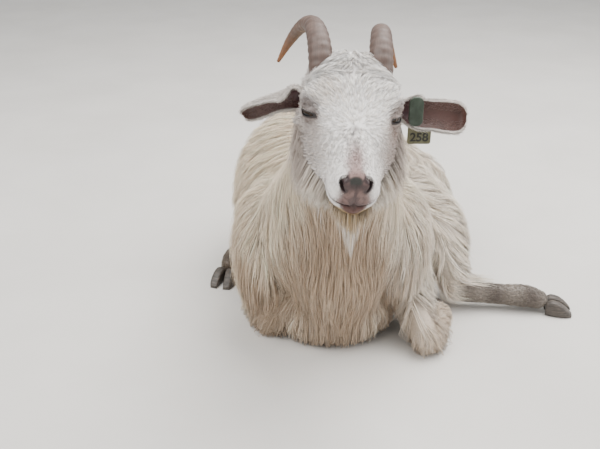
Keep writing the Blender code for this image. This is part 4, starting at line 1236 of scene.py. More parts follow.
def strand_object(name, centre, across, outs, width, colours, patches, slot):
    count, rings = width.shape
    ring = centre[:, :rings]
    left = ring - across[:, :rings] * width[..., None]
    right = ring + across[:, :rings] * width[..., None]
    ridge = ring + outs[:, :rings] * (width * STRAND_THICKNESS)[..., None]
    body = np.stack([left, right, ridge], axis=2).reshape(count, rings * 3, 3)
    points = np.concatenate([body, centre[:, rings:rings + 1]], axis=1)
    each = rings * 3 + 1
    faces = [(0, 2, 1)]
    for r in range(rings - 1):
        for k in range(3):
            a, b = r * 3 + k, r * 3 + (k + 1) % 3
            faces += [(a, b, b + 3), (a, b + 3, a + 3)]
    for k in range(3):
        faces.append(((rings - 1) * 3 + k, (rings - 1) * 3 + (k + 1) % 3, each - 1))
    faces = np.array(faces)
    corners = (faces[None] + (np.arange(count) * each)[:, None, None]).reshape(-1)
    mesh = bpy.data.meshes.new(name)
    mesh.vertices.add(count * each)
    mesh.vertices.foreach_set("co", points.reshape(-1))
    mesh.loops.add(len(corners))
    mesh.loops.foreach_set("vertex_index", corners.astype(np.int32))
    mesh.polygons.add(len(corners) // 3)
    mesh.polygons.foreach_set("loop_start", np.arange(0, len(corners), 3, dtype=np.int32))
    mesh.update(calc_edges=True)
    mesh.shade_smooth()
    tints = np.concatenate([np.repeat(colours[:, :rings], 3, axis=1), colours[:, rings:rings + 1]], axis=1)
    write_colour(mesh, tints.reshape(-1, 3))
    place_across = np.concatenate([np.tile([0.0, 1.0, 0.5], rings), [0.5]])
    place_along = np.concatenate([np.repeat(np.linspace(0, 0.8, rings), 3), [1.0]])
    local = np.stack([place_across, place_along], axis=1) - 0.5
    patch = patches[:, None] + COAT_PATCH * local[None]
    write_uv(mesh, "OFBake", patch.reshape(-1, 2)[corners])
    grain = np.stack([place_across, place_along * 6.0], axis=1)[None] + (patches[:, None] * 97.0) % 11.0
    write_uv(mesh, "Grain", grain.reshape(-1, 2)[corners])
    mesh.materials.append(coat_material())
    obj = add_object(name, mesh)
    return obj


def write_colour(mesh, colours):
    layer = mesh.color_attributes.new(name="Tint", type="FLOAT_COLOR", domain="POINT")
    layer.data.foreach_set("color", np.column_stack([colours, np.ones(len(colours))]).ravel())


def write_uv(mesh, name, places):
    layer = mesh.uv_layers.new(name=name)
    layer.data.foreach_set("uv", np.ascontiguousarray(places, dtype=np.float32).ravel())


def new_material(name):
    """A material of this script and its node tree."""
    made = bpy.data.materials.new(name)
    made.use_nodes = True
    return made, made.node_tree


def node(tree, kind, **values):
    """A shader node with its properties and socket values set."""
    made = tree.nodes.new(kind)
    for key, value in values.items():
        if key in made.inputs:
            made.inputs[key].default_value = value
        else:
            setattr(made, key, value)
    return made


def noise(tree, scale, detail=4.0, roughness=0.55, vector=None):
    made = node(tree, "ShaderNodeTexNoise", Scale=scale, Detail=detail, Roughness=roughness)
    if vector is None:
        vector = node(tree, "ShaderNodeTexCoord").outputs["Object"]
    tree.links.new(vector, made.inputs["Vector"])
    return made.outputs["Fac"]


def ramp(tree, value, *stops):
    """A colour ramp with stops of place and colour."""
    made = tree.nodes.new("ShaderNodeValToRGB")
    band = made.color_ramp
    while len(band.elements) < len(stops):
        band.elements.new(0.5)
    for element, (place, colour) in zip(band.elements, stops):
        element.position = place
        element.color = (*colour, 1.0)
    tree.links.new(value, made.inputs["Fac"])
    return made.outputs["Color"]


def multiply(tree, a, b, share):
    """A colour multiplied by another one, by this share."""
    made = node(tree, "ShaderNodeMix", data_type="RGBA", blend_type="MULTIPLY")
    sockets = {socket.identifier: socket for socket in made.inputs}
    sockets["Factor_Float"].default_value = share
    tree.links.new(a, sockets["A_Color"])
    tree.links.new(b, sockets["B_Color"])
    return next(socket for socket in made.outputs if socket.identifier == "Result_Color")


def tint_of(tree):
    """The colour that the points of a mesh carry."""
    return node(tree, "ShaderNodeAttribute", attribute_name="Tint").outputs["Color"]


def stretched(tree, source, scale):
    """Places of a texture stretched by this scale."""
    made = node(tree, "ShaderNodeMapping", Scale=scale)
    tree.links.new(source, made.inputs["Vector"])
    return made.outputs["Vector"]


def greys(tree, value, low, high):
    """A roughness between two values."""
    return ramp(tree, value, (0.3, (low,) * 3), (0.7, (high,) * 3))


def bump(tree, height, strength, distance):
    made = node(tree, "ShaderNodeBump", Strength=strength, Distance=distance)
    tree.links.new(height, made.inputs["Height"])
    return made.outputs["Normal"]


def shade(tree, colour, roughness, normal=None, **values):
    shader = tree.nodes["Principled BSDF"]
    for name, value in (("Base Color", colour), ("Roughness", roughness), ("Normal", normal)):
        if isinstance(value, bpy.types.NodeSocket):
            tree.links.new(value, shader.inputs[name])
        elif value is not None:
            shader.inputs[name].default_value = value
    for name, value in values.items():
        shader.inputs[name.replace("_", " ")].default_value = value


@cache
def coat_material():
    """Hair: its own tint, with fine grain along each strand."""
    made, tree = new_material("coat_hair")
    grain = node(tree, "ShaderNodeUVMap", uv_map="Grain").outputs["UV"]
    fibre = noise(tree, 3.0, 3.0, 0.6, stretched(tree, grain, (7.0, 0.35, 1.0)))
    dark = ramp(tree, fibre, (0.30, (0.78, 0.74, 0.68)), (0.62, (1.0, 1.0, 1.0)))
    colour = multiply(tree, tint_of(tree), dark, 0.8)
    shade(tree, colour, 0.62, bump(tree, fibre, 0.35, 0.0006), Sheen_Weight=0.15, Sheen_Roughness=0.5)
    return made


@cache
def skin_material():
    """Skin: its own tint, speckled, with fine pores."""
    made, tree = new_material("skin")
    speckle = ramp(tree, noise(tree, 260.0, 5.0), (0.35, (0.72, 0.70, 0.68)), (0.60, (1.0, 1.0, 1.0)))
    colour = multiply(tree, tint_of(tree), speckle, 0.6)
    wet = greys(tree, noise(tree, 420.0, 3.0), 0.42, 0.62)
    pores = bump(tree, noise(tree, 900.0, 4.0), 0.5, 0.0006)
    shade(tree, colour, wet, pores)
    return made


@cache
def horn_material():
    """Horn: grey-brown, ringed and streaked, turning orange-brown at the tip."""
    made, tree = new_material("horn")
    length = node(tree, "ShaderNodeUVMap", uv_map="Along").outputs["UV"]
    fibre = noise(tree, 1.0, 6.0, 0.65, stretched(tree, length, (40.0, 1.2, 1.0)))
    patches = noise(tree, 55.0, 4.0)
    tone = ramp(tree, fibre, (0.30, (0.62, 0.58, 0.55)), (0.65, (1.12, 1.10, 1.06)))
    colour = multiply(tree, tint_of(tree), tone, 0.75)
    dirt = ramp(tree, patches, (0.42, (0.70, 0.66, 0.62)), (0.62, (1.0, 1.0, 1.0)))
    colour = multiply(tree, colour, dirt, 0.6)
    rough = greys(tree, patches, 0.42, 0.66)
    shade(tree, colour, rough, bump(tree, fibre, 0.4, 0.0010))
    return made


@cache
def hoof_material():
    made, tree = new_material("hoof")
    place = node(tree, "ShaderNodeTexCoord").outputs["Object"]
    bands = noise(tree, 60.0, 5.0, 0.6, stretched(tree, place, (1.0, 1.0, 6.0)))
    colour = ramp(tree, bands, *HOOF_BANDS)
    rough = greys(tree, noise(tree, 120.0), 0.38, 0.68)
    shade(tree, colour, rough, bump(tree, bands, 0.5, 0.0012))
    return made


@cache
def eye_material():
    """Eye: dark amber iris with a wide pupil that lies along the lids, under a wet surface."""
    made, tree = new_material("eye")
    fibre = noise(tree, 700.0, 4.0)
    tone = ramp(tree, fibre, (0.35, (0.70, 0.66, 0.60)), (0.65, (1.15, 1.10, 1.0)))
    colour = multiply(tree, tint_of(tree), tone, 0.6)
    shade(tree, colour, 0.22, Coat_Weight=0.25, Coat_Roughness=0.06, Specular_IOR_Level=0.2)
    return made


def plastic_material(name, colour, roughness):
    """Moulded tag plastic, a little faded and scuffed."""
    made, tree = new_material(name)
    faded = noise(tree, 90.0, 5.0)
    scuffs = noise(tree, 600.0, 3.0)
    pale = tuple(min(1.0, value * 1.5 + 0.02) for value in colour)
    tone = ramp(tree, faded, (0.40, colour), (0.75, pale))
    rough = greys(tree, scuffs, roughness, roughness + 0.2)
    shade(tree, tone, rough, bump(tree, scuffs, 0.15, 0.0004))
    return made


def floor_material():
    made, tree = new_material("floor")
    cloud = noise(tree, 3.0, 3.0)
    colour = ramp(tree, cloud, (0.35, (0.62, 0.60, 0.57)), (0.65, (0.66, 0.64, 0.61)))
    shade(tree, colour, 0.85, bump(tree, noise(tree, 150.0), 0.1, 0.001))
    return made


def make_horn(label, stations):
    """A horn of oval section with growth rings, coloured from root to tip."""
    rows = smooth_rows(stations, 24)
    span = np.linspace(0, 1, len(rows))
    waves = np.sin((span**0.85) * HORN_RINGS * 2 * math.pi)
    ripple = HORN_RING_DEPTH * (np.abs(waves) ** 0.7 * np.sign(waves)) * (1 - span) ** 0.8
    radius = rows[:, 3] + ripple
    shaped = np.column_stack([rows[:, :3], radius * HORN_FLATTENING, radius])
    horn = loft(f"horn_{label}_fine", shaped, sides=48, steps=1, up=(1, 0, 0))
    points, _ = mesh_arrays(horn)
    index = np.linalg.norm(points[:, None] - rows[None, :, :3], axis=2).argmin(axis=1)
    share = span[index]
    base = mix(HORN_GREY, HORN_BROWN, smoothstep(0.25, 0.75, share))
    base = mix(base, HORN_TIP, smoothstep(0.70, 0.95, share))
    ring = 1 - 0.16 * smoothstep(-0.2, -0.9, waves[index]) * (1 - share)
    write_colour(horn.data, base * ring[:, None])
    around = points - rows[index, :3]
    angle = np.arctan2(around[:, 0], around[:, 1]) / (2 * math.pi)
    places = np.column_stack([angle, share * 6.0])
    corners = np.empty(len(horn.data.loops), dtype=np.int32)
    horn.data.loops.foreach_get("vertex_index", corners)
    write_uv(horn.data, "Along", places[corners])
    horn.data.materials.append(horn_material())
    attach(horn, "root")
    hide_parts(f"horn_{label}")


def ear_sheet(root, tip, opening, tip_opening, rolled, arch):
    """Points of both faces of an ear, a leaf rolled into a cup at its root and turned along its length."""
    root, tip = np.array(root), np.array(tip)
    axis = unit(tip - root)
    sections = smooth_rows(EAR_SECTIONS, 8)
    u = np.linspace(0, 1, EAR_ROWS) ** 0.85
    half_arc = np.interp(u, sections[:, 0], sections[:, 1])
    roll = np.interp(u, sections[:, 0], sections[:, 2]) * (1 + rolled * smoothstep(0.10, 0.40, u))
    facing = mix(opening, tip_opening, smoothstep(0.08, 0.36, u))
    facing = unit(facing - (facing @ axis)[:, None] * axis)
    across = np.cross(axis, facing)
    v = np.linspace(-1, 1, EAR_COLUMNS)
    edge = 1 - 0.55 * smoothstep(0.75, 1.0, np.abs(v))
    faces = []
    for offset in (EAR_THICKNESS / 2, -EAR_THICKNESS / 2):
        radius = (half_arc / roll)[:, None]
        angle = roll[:, None] * v
        reach = radius + offset * edge[None]
        x = reach * np.sin(angle)
        upper = np.sign(x) * np.sign(across[:, 2])[:, None] > 0
        x = x * (1 - EAR_FOLD * smoothstep(0.30, 0.42, u)[:, None] * upper)
        z = radius - reach * np.cos(angle) - 0.30 * radius
        droop = 0.006 * u[:, None] ** 2 - arch * np.sin(math.pi * u[:, None] ** 0.7)
        place = root + axis * (np.linalg.norm(tip - root) * u)[:, None, None]
        place = place + across[:, None] * x[..., None] + facing[:, None] * z[..., None]
        faces.append(place - np.array([0, 0, 1.0]) * droop[..., None])
    return faces, u


def make_ear(label, sizes):
    """An ear with a bare brown-pink hollow and hair on its back and rim."""
    (outer, inner), shares = ear_sheet(*sizes, *EAR_ROLLS[label])
    rows, columns = outer.shape[:2]
    count = rows * columns
    points = np.vstack([outer.reshape(-1, 3), inner.reshape(-1, 3)])
    faces = []
    for r in range(rows - 1):
        for c in range(columns - 1):
            a, b = r * columns + c, r * columns + c + 1
            d, e = a + columns, b + columns
            faces += [(a, b, e, d), (a + count, d + count, e + count, b + count)]
    for r in range(rows - 1):
        for c in (0, columns - 1):
            a, d = r * columns + c, (r + 1) * columns + c
            faces.append((a, d, d + count, a + count))
    for r in (0, rows - 1):
        for c in range(columns - 1):
            a, b = r * columns + c, r * columns + c + 1
            faces.append((a, b, b + count, a + count))
    ear = mesh_object(f"ear_{label}_fine", points, faces)
    u = np.repeat(shares, columns)
    v = np.tile(np.linspace(-1, 1, columns), rows)
    rim = smoothstep(0.88, 1.00, np.abs(v))
    # The hollow's own red skin, darkened near the root as painted shade under the fold
    hollow = mix(EAR_DEEP_SHADE, EAR_PINK, smoothstep(0.12, 0.50, u))
    blotches = smoothstep(0.1, 0.9, wave(inner.reshape(-1, 3), 0.011, 2.0))
    hollow = mix(hollow, EAR_BROWN, 0.6 * blotches)
    hollow = mix(hollow, EAR_HAIR, 0.7 * rim)
    back = np.tile(np.array(EAR_HAIR), (count, 1))
    write_colour(ear.data, np.vstack([back, hollow]))
    ear.data.materials.append(skin_material())
    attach(ear, "root")
    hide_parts(f"ear_{label}")
    hair_on_ear(label, outer, inner)


# Hair of an ear: which face, how many, where across it, length, lift and colour
EAR_COAT = (
    ("outer", 3600, (0.0, 1.0), 0.0090, 0.0018, EAR_HAIR),
    ("inner", 700, (0.30, 0.92), 0.0048, 0.0008, EAR_FUZZ),
    ("inner", 900, (0.92, 1.00), 0.0055, 0.0010, EAR_HAIR),
    ("outer", 1400, (0.92, 1.0), 0.0064, 0.0012, EAR_HAIR),
)


def hair_on_ear(label, outer, inner):
    """Short hair over the back, the rim and the edges of the hollow, lying towards the tip."""
    chance = np.random.default_rng(SEEDS[f"ear_{label}"])
    rows, columns = outer.shape[:2]
    for part, (face, count, span, length, lift, colour) in enumerate(EAR_COAT):
        sheet = outer if face == "outer" else inner
        u = chance.random(count) * 0.98
        v = chance.uniform(*span, count) * chance.choice((-1, 1), count)
        r, c = u * (rows - 1), (v + 1) / 2 * (columns - 1)
        r0, c0 = np.minimum(r.astype(int), rows - 2), np.clip(c.astype(int), 0, columns - 2)
        fr, fc = (r - r0)[:, None], (c - c0)[:, None]
        low = sheet[r0, c0] * (1 - fc) + sheet[r0, c0 + 1] * fc
        high = sheet[r0 + 1, c0] * (1 - fc) + sheet[r0 + 1, c0 + 1] * fc
        roots = low * (1 - fr) + high * fr
        du, dv = high - low, sheet[r0, c0 + 1] - sheet[r0, c0]
        normals = unit(np.cross(du, dv))
        through = (outer - inner)[r0, c0] * (1 if face == "outer" else -1)
        normals = normals * np.sign(np.sum(normals * through, axis=1))[:, None]
        edge = unit(dv) * np.sign(v)[:, None]
        ways = unit(du) * 0.9 + edge * (0.20 + 0.4 * smoothstep(0.80, 1.0, np.abs(v)))[:, None]
        ways = unit(ways + chance.normal(0, 0.12, (count, 3)))
        sizes = length * chance.uniform(0.6, 1.3, count) * (1.15 - 0.3 * u)
        lifts = lift * chance.uniform(0.4, 1.4, count)
        tint = np.array(colour) * chance.normal(1.0, 0.06, count)[:, None]
        name = f"ear_{label}_hair_{part}"
        half_width = HALF_WIDTHS["ear"]
        lay_strands(name, roots, normals, ways, sizes, half_width, lifts, tint, "ear", SHORT_RINGS)


def gather_tips(roots, ways, lengths, spacing, share):
    """Ways and lengths of strands whose tips are drawn to the tip of one strand in each cell."""
    centres = one_per_cell(roots, spacing)
    owner = nearest_of(roots[centres], roots)
    tips = roots + ways * lengths[:, None]
    tips = tips + (tips[centres][owner] - tips) * share
    return unit(tips - roots), np.linalg.norm(tips - roots, axis=1)


def lay_strands(name, roots, normals, ways, lengths, half_width, lifts, tints, slot, rings=LONG_RINGS):
    """Single strands that start in the skin and lean along it."""
    rings = np.array([*rings, 1.0])
    count = len(roots)
    centre = roots[:, None] + ways[:, None] * (lengths[:, None] * rings)[..., None]
    rise = lifts[:, None] * np.sin(rings * 1.9)
    rise[:, 0] = -STRAND_ROOT_DEPTH
    centre = centre + normals[:, None] * rise[..., None]
    outs = np.repeat(normals[:, None], len(rings), axis=1)
    across = unit(np.cross(np.repeat(ways[:, None], len(rings), axis=1), outs))
    width = half_width * np.interp(rings[:-1], LONG_RINGS, STRAND_WIDTHS)[None] * np.ones((count, 1))
    colours = shaded_along(tints, rings, STRAND_SHADE_TONES)
    for piece in strand_pieces(name, centre, across, outs, width, colours, unwrap(roots), slot):
        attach(piece, "root")


def scattered_roots(surface, count, tries, inside, chance):
    """Roots, normals and head places of this many strands, where a test of the head places holds."""
    roots, normals = sample_surface(*surface, count * tries, chance)
    local = to_head(roots)
    chosen = chance.permutation(np.flatnonzero(inside(*local.T, normals)))[:count]
    return roots[chosen], normals[chosen], local[chosen].T


def on_jaw(w, s, h, normals):
    low = (h < -0.022 - 0.22 * np.clip(s, 0, 1)) & (h > mouth_height(s) - 0.085)
    return low & (s > -0.085) & (s < 0.098) & (np.abs(w) > 0.010) & (normals[:, 2] < 0.55)


def on_chin(w, s, h, normals):
    low = (h - mouth_height(s) < -0.0150) & (s > 0.085)
    return low & (np.abs(w) < 0.029) & (normals[:, 2] < 0.3)


def make_jaw_hair(surface):
    """Longer white hair that hangs from the cheeks and the jaw."""
    chance = np.random.default_rng(SEEDS["jaw_hair"])
    roots, normals, (w, s, h) = scattered_roots(surface, JAW_STRANDS, 60, on_jaw, chance)
    count = len(roots)
    outward = np.column_stack([np.sign(w), np.zeros(count), np.zeros(count)])
    flare = 0.12 + 0.28 * smoothstep(-0.02, 0.06, s)
    ways = unit(np.array([0.0, -0.10, -1.0]) + flare[:, None] * outward + chance.normal(0, 0.06, (count, 3)))
    lengths = np.interp(s, *zip(*JAW_HAIR)) * chance.uniform(0.55, 1.10, count)
    ways, lengths = gather_tips(roots, ways, lengths, *LOCKS["jaw_hair"])
    lifts = 0.10 * lengths * chance.uniform(0.5, 1.3, count)
    tints = mix(WHITE, CREAM, 0.50) * chance.normal(0.97, 0.04, count)[:, None]
    # Painted shade of the cheeks, carried onto the upper jaw hair
    cheek = smoothstep(-0.070, -0.024, h) * smoothstep(0.075, 0.045, s)
    tints = mix(tints, CHEEK_SHADE, 0.75 * cheek)
    lay_strands("jaw_hair", roots, normals, ways, lengths, HALF_WIDTHS["jaw_hair"], lifts, tints, "face")


def make_lashes():
    """Short pale lashes that stand up from the upper lids."""
    chance = np.random.default_rng(SEEDS["lashes"])
    count = LASHES
    for label, side in (("left", 1), ("right", -1)):
        turn = np.array(eye_turn(side))
        middle = np.array(opening_centre(side))
        upward = turn[:, 1] if turn[2, 1] > 0 else -turn[:, 1]
        t = np.linspace(-0.9, 0.8, count) + chance.normal(0, 0.02, count)
        roots = middle + turn[:, 0] * (EYE_OPENING[0] * t)[:, None]
        roots = roots + upward * (EYE_OPENING[1] * np.sqrt(1 - t**2) + 0.0010)[:, None]
        roots = roots - turn[:, 2] * (0.0012 + 0.0035 * t**2)[:, None]
        ways = unit(turn[:, 2] * 0.75 + upward * 0.55 + turn[:, 0] * (0.35 * t)[:, None])
        lengths = LASH_LENGTH * chance.uniform(0.7, 1.15, count)
        normals = np.tile(upward, (count, 1))
        tints = np.tile(np.array(WHITE) * 0.8, (count, 1))
        lifts = np.full(count, 0.0008)
        half_width = HALF_WIDTHS["lashes"]
        lay_strands(f"lashes_{label}", roots, normals, ways, lengths, half_width, lifts, tints, "face")


def make_eyes():
    """Eyeballs with amber irises and pupils that lie along the lids."""
    for label, side in (("left", 1), ("right", -1)):
        turn = eye_turn(side)
        eye = ellipsoid(f"eye_{label}_fine", eye_centre(side), (EYE_RADIUS,) * 3, turn, 96, 64)
        points, _ = mesh_arrays(eye)
        local = (points - eye_centre(side)) @ np.array(turn)
        out = np.linalg.norm(local[:, :2], axis=1)
        front = local[:, 2] > 0
        iris = smoothstep(*IRIS_EDGE, out) * front
        rim = smoothstep(*IRIS_RIM_EDGE, out) * iris
        pupil = np.sqrt(np.sum((local[:, :2] / PUPIL_HALF_SIZES) ** 2, axis=1))
        colour = mix(EYE_WHITE, IRIS, iris)
        colour = mix(colour, IRIS_RIM, rim)
        colour = mix(colour, PUPIL, smoothstep(1.10, 0.95, pupil) * front)
        write_colour(eye.data, colour)
        eye.data.materials.append(eye_material())
        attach(eye, "root")
        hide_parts(f"eye_{label}")


def make_hooves():
    """Two claws on each leg, their outlines rounded by smoothing."""
    for name, path in CANNONS.items():
        for claw, side in (("inner", 1), ("outer", -1)):
            hoof = make_claw(f"hoof_{name}_{claw}_fine", path, side)
            hoof.data.materials.append(hoof_material())
            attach(hoof, "root")
            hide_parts(f"hoof_{name}_{claw}")


def make_claw(name, path, side):
    """One claw at the end of a leg: a flat sole, a curved outer wall and a blunt toe."""
    forward = Vector((path[-1][0] - path[-2][0], path[-1][1] - path[-2][1], 0.0)).normalized()
    across = Vector((-forward.y, forward.x, 0.0))
    base = Vector((path[-1][0], path[-1][1], 0.0)) + forward * HOOF_START
    base += across * side * (HOOF_HALF_WIDTH + GAP)
    splay = Matrix.Rotation(CLAW_SPLAY * side, 3, "Z")
    forward, across = splay @ forward, splay @ across
    profile = smooth_rows(HOOF_PROFILE, 6)
    inner = HOOF_HALF_WIDTH
    points, sides = [], CLAW_SIDES
    for along, wide, high in profile:
        outer, top = HOOF_HALF_WIDTH * wide, HOOF_HEIGHT * high
        wall = [(outer * 0.97, top * 0.5), (outer * 0.55, top), (-inner, top * 0.94)]
        corners = np.array([(-inner, 0.0), (outer, 0.0), *wall, (-inner, 0.0)])
        reach = np.concatenate([[0], np.cumsum(np.linalg.norm(np.diff(corners, axis=0), axis=1))])
        even = np.linspace(0, reach[-1], sides, endpoint=False)
        ring = np.column_stack([np.interp(even, reach, corners[:, k]) for k in (0, 1)])
        for _ in range(2):
            ring = 0.5 * ring + 0.25 * (np.roll(ring, 1, axis=0) + np.roll(ring, -1, axis=0))
        for offset, height in ring:
            place = base + forward * along * HOOF_LENGTH + across * side * offset
            points.append((place.x, place.y, max(height, SOLE_CLEARANCE)))
    rings = len(profile)
    first, last = points[:sides], points[-sides:]
    points.append(tuple(np.mean(first, axis=0)))
    points.append(tuple(np.mean(last, axis=0) + np.array(forward) * TOE_ROUNDING))
    return mesh_object(name, points, tube_faces(rings, sides))


def rounded_plate(name, centre, half_sizes, radius, bevel):
    """A flat plate with round corners, facing along Y."""
    curve = bpy.data.curves.new(name, "CURVE")
    curve.dimensions = "2D"
    curve.fill_mode = "BOTH"
    curve.extrude = half_sizes[1] - bevel
    curve.bevel_depth = bevel
    curve.bevel_resolution = 3
    spline = curve.splines.new("POLY")
    places = []
    for corner, (sx, sz) in enumerate(((1, 1), (-1, 1), (-1, -1), (1, -1))):
        for step in range(9):
            angle = math.radians(corner * 90 + step * 90 / 8)
            x = sx * (half_sizes[0] - bevel - radius) + radius * math.cos(angle)
            z = sz * (half_sizes[2] - bevel - radius) + radius * math.sin(angle)
            places.append((x, z, 0.0))
    spline.points.add(len(places) - 1)
    for point, place in zip(spline.points, places):
        point.co = (*place, 1.0)
    spline.use_cyclic_u = True
    obj = add_object(f"{name}_outline", curve)
    obj.matrix_world = Matrix.Translation(Vector(centre)) @ Matrix.Rotation(math.radians(90), 4, "X")
    return curve_to_mesh(obj, name)


def curve_to_mesh(obj, name):
    """A mesh object made from a curve or text object, in its place."""
    mesh = evaluated_mesh(obj)
    mesh.name = name
    mesh.transform(obj.matrix_world)
    made = add_object(name, mesh)
    drop(obj)
    return made


def make_tag():
    """The tag's button, its flag and plain generic digits on the flag."""
    low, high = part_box("tag_button")
    centre, half = (low + high) / 2, (high - low) / 2
    button = rounded_plate("tag_button_fine", centre, half, half.x * BUTTON_ROUNDING, BUTTON_BEVEL)
    button.data.materials.append(plastic_material("tag_green", TAG_GREEN, 0.38))
    low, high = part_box("tag_flag")
    centre, half = (low + high) / 2, (high - low) / 2
    flag = rounded_plate("tag_flag_fine", centre, half, FLAG_ROUNDING, FLAG_BEVEL)
    flag.data.materials.append(plastic_material("tag_olive", TAG_OLIVE, 0.45))
    words = bpy.data.curves.new("tag_digits", "FONT")
    words.body = TAG_DIGITS
    words.size = DIGIT_SIZE
    words.extrude = DIGIT_DEPTH
    words.offset = DIGIT_BOLDNESS
    words.align_x = "CENTER"
    text = add_object("tag_digits_text", words)
    at = Vector((centre.x, low.y - 0.0001, low.z + 0.0050))
    text.matrix_world = Matrix.Translation(at) @ Matrix.Rotation(math.radians(90), 4, "X")
    digits = curve_to_mesh(text, "tag_digits")
    digits.data.materials.append(plastic_material("tag_print", TAG_PRINT, 0.5))
    for piece, slot in ((button, "tag"), (flag, "flag"), (digits, "flag")):
        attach(piece, "root")
    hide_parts("tag_button")
    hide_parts("tag_flag")


def make_beard():
    """A tuft that hangs from the chin, gathered in a few locks."""
    chance = np.random.default_rng(SEEDS["beard"])
    count = BEARD_STRANDS
    spread = chance.normal(0, 1, (count, 2)) * (0.0090, 0.0110)
    local = np.column_stack([spread[:, 0], BEARD_ROOT[1] + spread[:, 1], np.full(count, BEARD_ROOT[2])])
    roots = head_point(local)
    far = np.linalg.norm(spread, axis=1) / 0.016
    lengths = BEARD_LENGTH * chance.uniform(0.45, 1.05, count) * (1.1 - 0.45 * np.clip(far, 0, 1))
    inward = np.column_stack([-spread[:, 0], -spread[:, 1] * 0.3, np.zeros(count)]) / BEARD_LENGTH
    ways = unit(np.array([0.015, -0.15, -1.0]) + 0.75 * inward + chance.normal(0, 0.020, (count, 3)))
    ways, lengths = gather_tips(roots, ways, lengths, *LOCKS["beard"])
    normals = unit(np.column_stack([spread[:, 0] * 60, -np.ones(count), np.zeros(count)]))
    tints = mix(np.array(STAIN) * 1.2, WHITE, 0.35 + 0.60 * chance.random(count))
    lifts = 0.003 * chance.uniform(0.0, 1.0, count)
    lay_strands("beard", roots, normals, ways, lengths, HALF_WIDTHS["beard"], lifts, tints, "face")


def make_chin_hair(surface):
    """Short stained hair that hangs from the chin below the lower lip."""
    chance = np.random.default_rng(SEEDS["chin_hair"])
    roots, normals, (w, _, _) = scattered_roots(surface, CHIN_STRANDS, 400, on_chin, chance)
    count = len(roots)
    ways = np.column_stack([4.0 * w, np.full(count, -0.16), np.full(count, -1.0)])
    ways = unit(ways + chance.normal(0, 0.07, (count, 3)))
    lengths = CHIN_HAIR * chance.uniform(0.5, 1.15, count) * (1.1 - 10.0 * np.abs(w))
    ways, lengths = gather_tips(roots, ways, lengths, *LOCKS["chin_hair"])
    tints = mix(STAIN, WHITE, 0.02 + 0.25 * chance.random(count) + 8.0 * np.abs(w))
    lifts = 0.10 * lengths * chance.uniform(0.3, 1.2, count)
    lay_strands("chin_hair", roots, normals, ways, lengths, HALF_WIDTHS["chin_hair"], lifts, tints, "face")


def make_tail_tuft(tree):
    """Longer hair that hangs from the tail."""
    chance = np.random.default_rng(SEEDS["tail_hair"])
    rows = smooth_rows(TAIL, 10)
    count = TAIL_STRANDS
    index = chance.integers(8, len(rows) - 2, count)
    angle = chance.uniform(0, 2 * math.pi, count)
    tangents = unit(np.gradient(rows[:, :3], axis=0))[index]
    side = unit(np.cross(tangents, [0, 0, 1.0]))
    upward = np.cross(side, tangents)
    outward = side * np.cos(angle)[:, None] + upward * np.sin(angle)[:, None]
    reach = rows[index, 3:5].min(axis=1)
    roots, normals = nearest_many(tree, rows[index, :3] + outward * reach[:, None])
    ways = unit(tangents * 0.7 + np.array([0.10, 0.0, -0.9]) + outward * 0.12)
    lengths = TAIL_HAIR * chance.uniform(0.6, 1.2, count)
    tints = np.array(PALE) * chance.normal(1.0, 0.08, count)[:, None]
    ways, lengths = gather_tips(roots, ways, lengths, *LOCKS["tail_hair"])
    lifts = np.full(count, 0.010)
    lay_strands("tail_hair", roots, normals, ways, lengths, HALF_WIDTHS["tail_hair"], lifts, tints, "coat")


def make_floor():
    bpy.ops.mesh.primitive_grid_add(x_subdivisions=8, y_subdivisions=8, size=FLOOR_SIZE, location=FLOOR_AT)
    floor = bpy.context.object
    floor.name = "floor"
    floor.data.materials.append(floor_material())


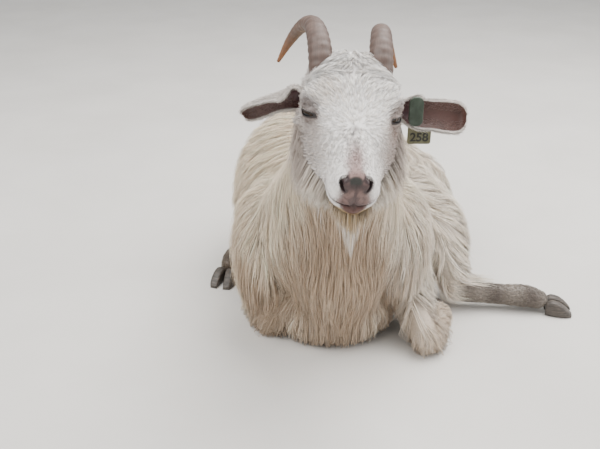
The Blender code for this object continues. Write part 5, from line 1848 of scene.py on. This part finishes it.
def make_lights():
    """Soft studio light: a pale surround, a wide key from above and softer fills."""
    world = bpy.data.worlds.new("surround")
    bpy.context.scene.world = world
    world.use_nodes = True
    surround = world.node_tree.nodes["Background"]
    surround.inputs["Color"].default_value = SURROUND_COLOUR
    surround.inputs["Strength"].default_value = SURROUND
    for name, place, size, power, colour in LIGHTS:
        light = bpy.data.lights.new(name, "AREA")
        light.size = size
        light.energy = power
        light.color = colour
        lamp = add_object(name, light)
        lamp.location = place
        aim = Vector(LIGHTS_AIM) - Vector(place)
        lamp.rotation_euler = aim.to_track_quat("-Z", "Y").to_euler()


def make_camera():
    camera = bpy.data.cameras.new("camera")
    camera.lens = LENS
    camera.sensor_width = SENSOR
    holder = add_object("camera", camera)
    holder.location = CAMERA_AT
    holder.rotation_euler = (CAMERA_TILT, 0.0, 0.0)
    bpy.context.scene.camera = holder


def finish_skin(skin):
    """Colour the skin as its coat is, and let it stand for the nodes of flesh."""
    points, _ = mesh_arrays(skin)
    normals = np.empty(len(skin.data.vertices) * 3)
    skin.data.vertices.foreach_get("normal", normals)
    write_colour(skin.data, skin_colour(points, normals.reshape(-1, 3)))
    skin.data.materials.clear()
    skin.data.materials.append(skin_material())
    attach(skin, "root")
    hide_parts(*FLESH_NODES)


def make_goat():
    skin = make_skin()
    finish_skin(skin)
    tree = tree_of(skin)
    surface = mesh_arrays(skin)
    body, face, legs = (part_of_surface(surface, share) for share in (body_share, head_share, leg_share))
    coats = [
        ("coat", body, body_style, coat_flow, BODY_DENSITY, BODY_CLUMPS, LONG_RINGS, "coat"),
        ("face_hair", face, head_style, head_flow, HEAD_DENSITY, HEAD_CLUMPS, SHORT_RINGS, "face"),
        ("leg_hair", legs, leg_style, coat_flow, LEG_DENSITY, LEG_CLUMPS, SHORT_RINGS, "leg"),
    ]
    for name, part, *how in coats:
        for piece in grow_coat(name, part, tree, *how):
            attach(piece, "root")
    make_jaw_hair(face)
    make_lashes()
    make_beard()
    make_chin_hair(face)
    make_tail_tuft(tree)
    for label, stations in (("left", LEFT_HORN), ("right", RIGHT_HORN)):
        make_horn(label, stations)
    for label, sizes in (("left", LEFT_EAR), ("right", RIGHT_EAR)):
        make_ear(label, sizes)
    make_eyes()
    make_hooves()
    make_tag()


def body_share(points):
    return 1 - head_share(points)


def part_of_surface(surface, share):
    """The triangles whose middle lies where this share is above zero."""
    points, corners = surface
    middle = points[corners].mean(axis=1)
    return points, corners[share(middle) > 0.001]


SPINE = spine_line()
make_camera()
make_lights()
make_floor()
make_goat()
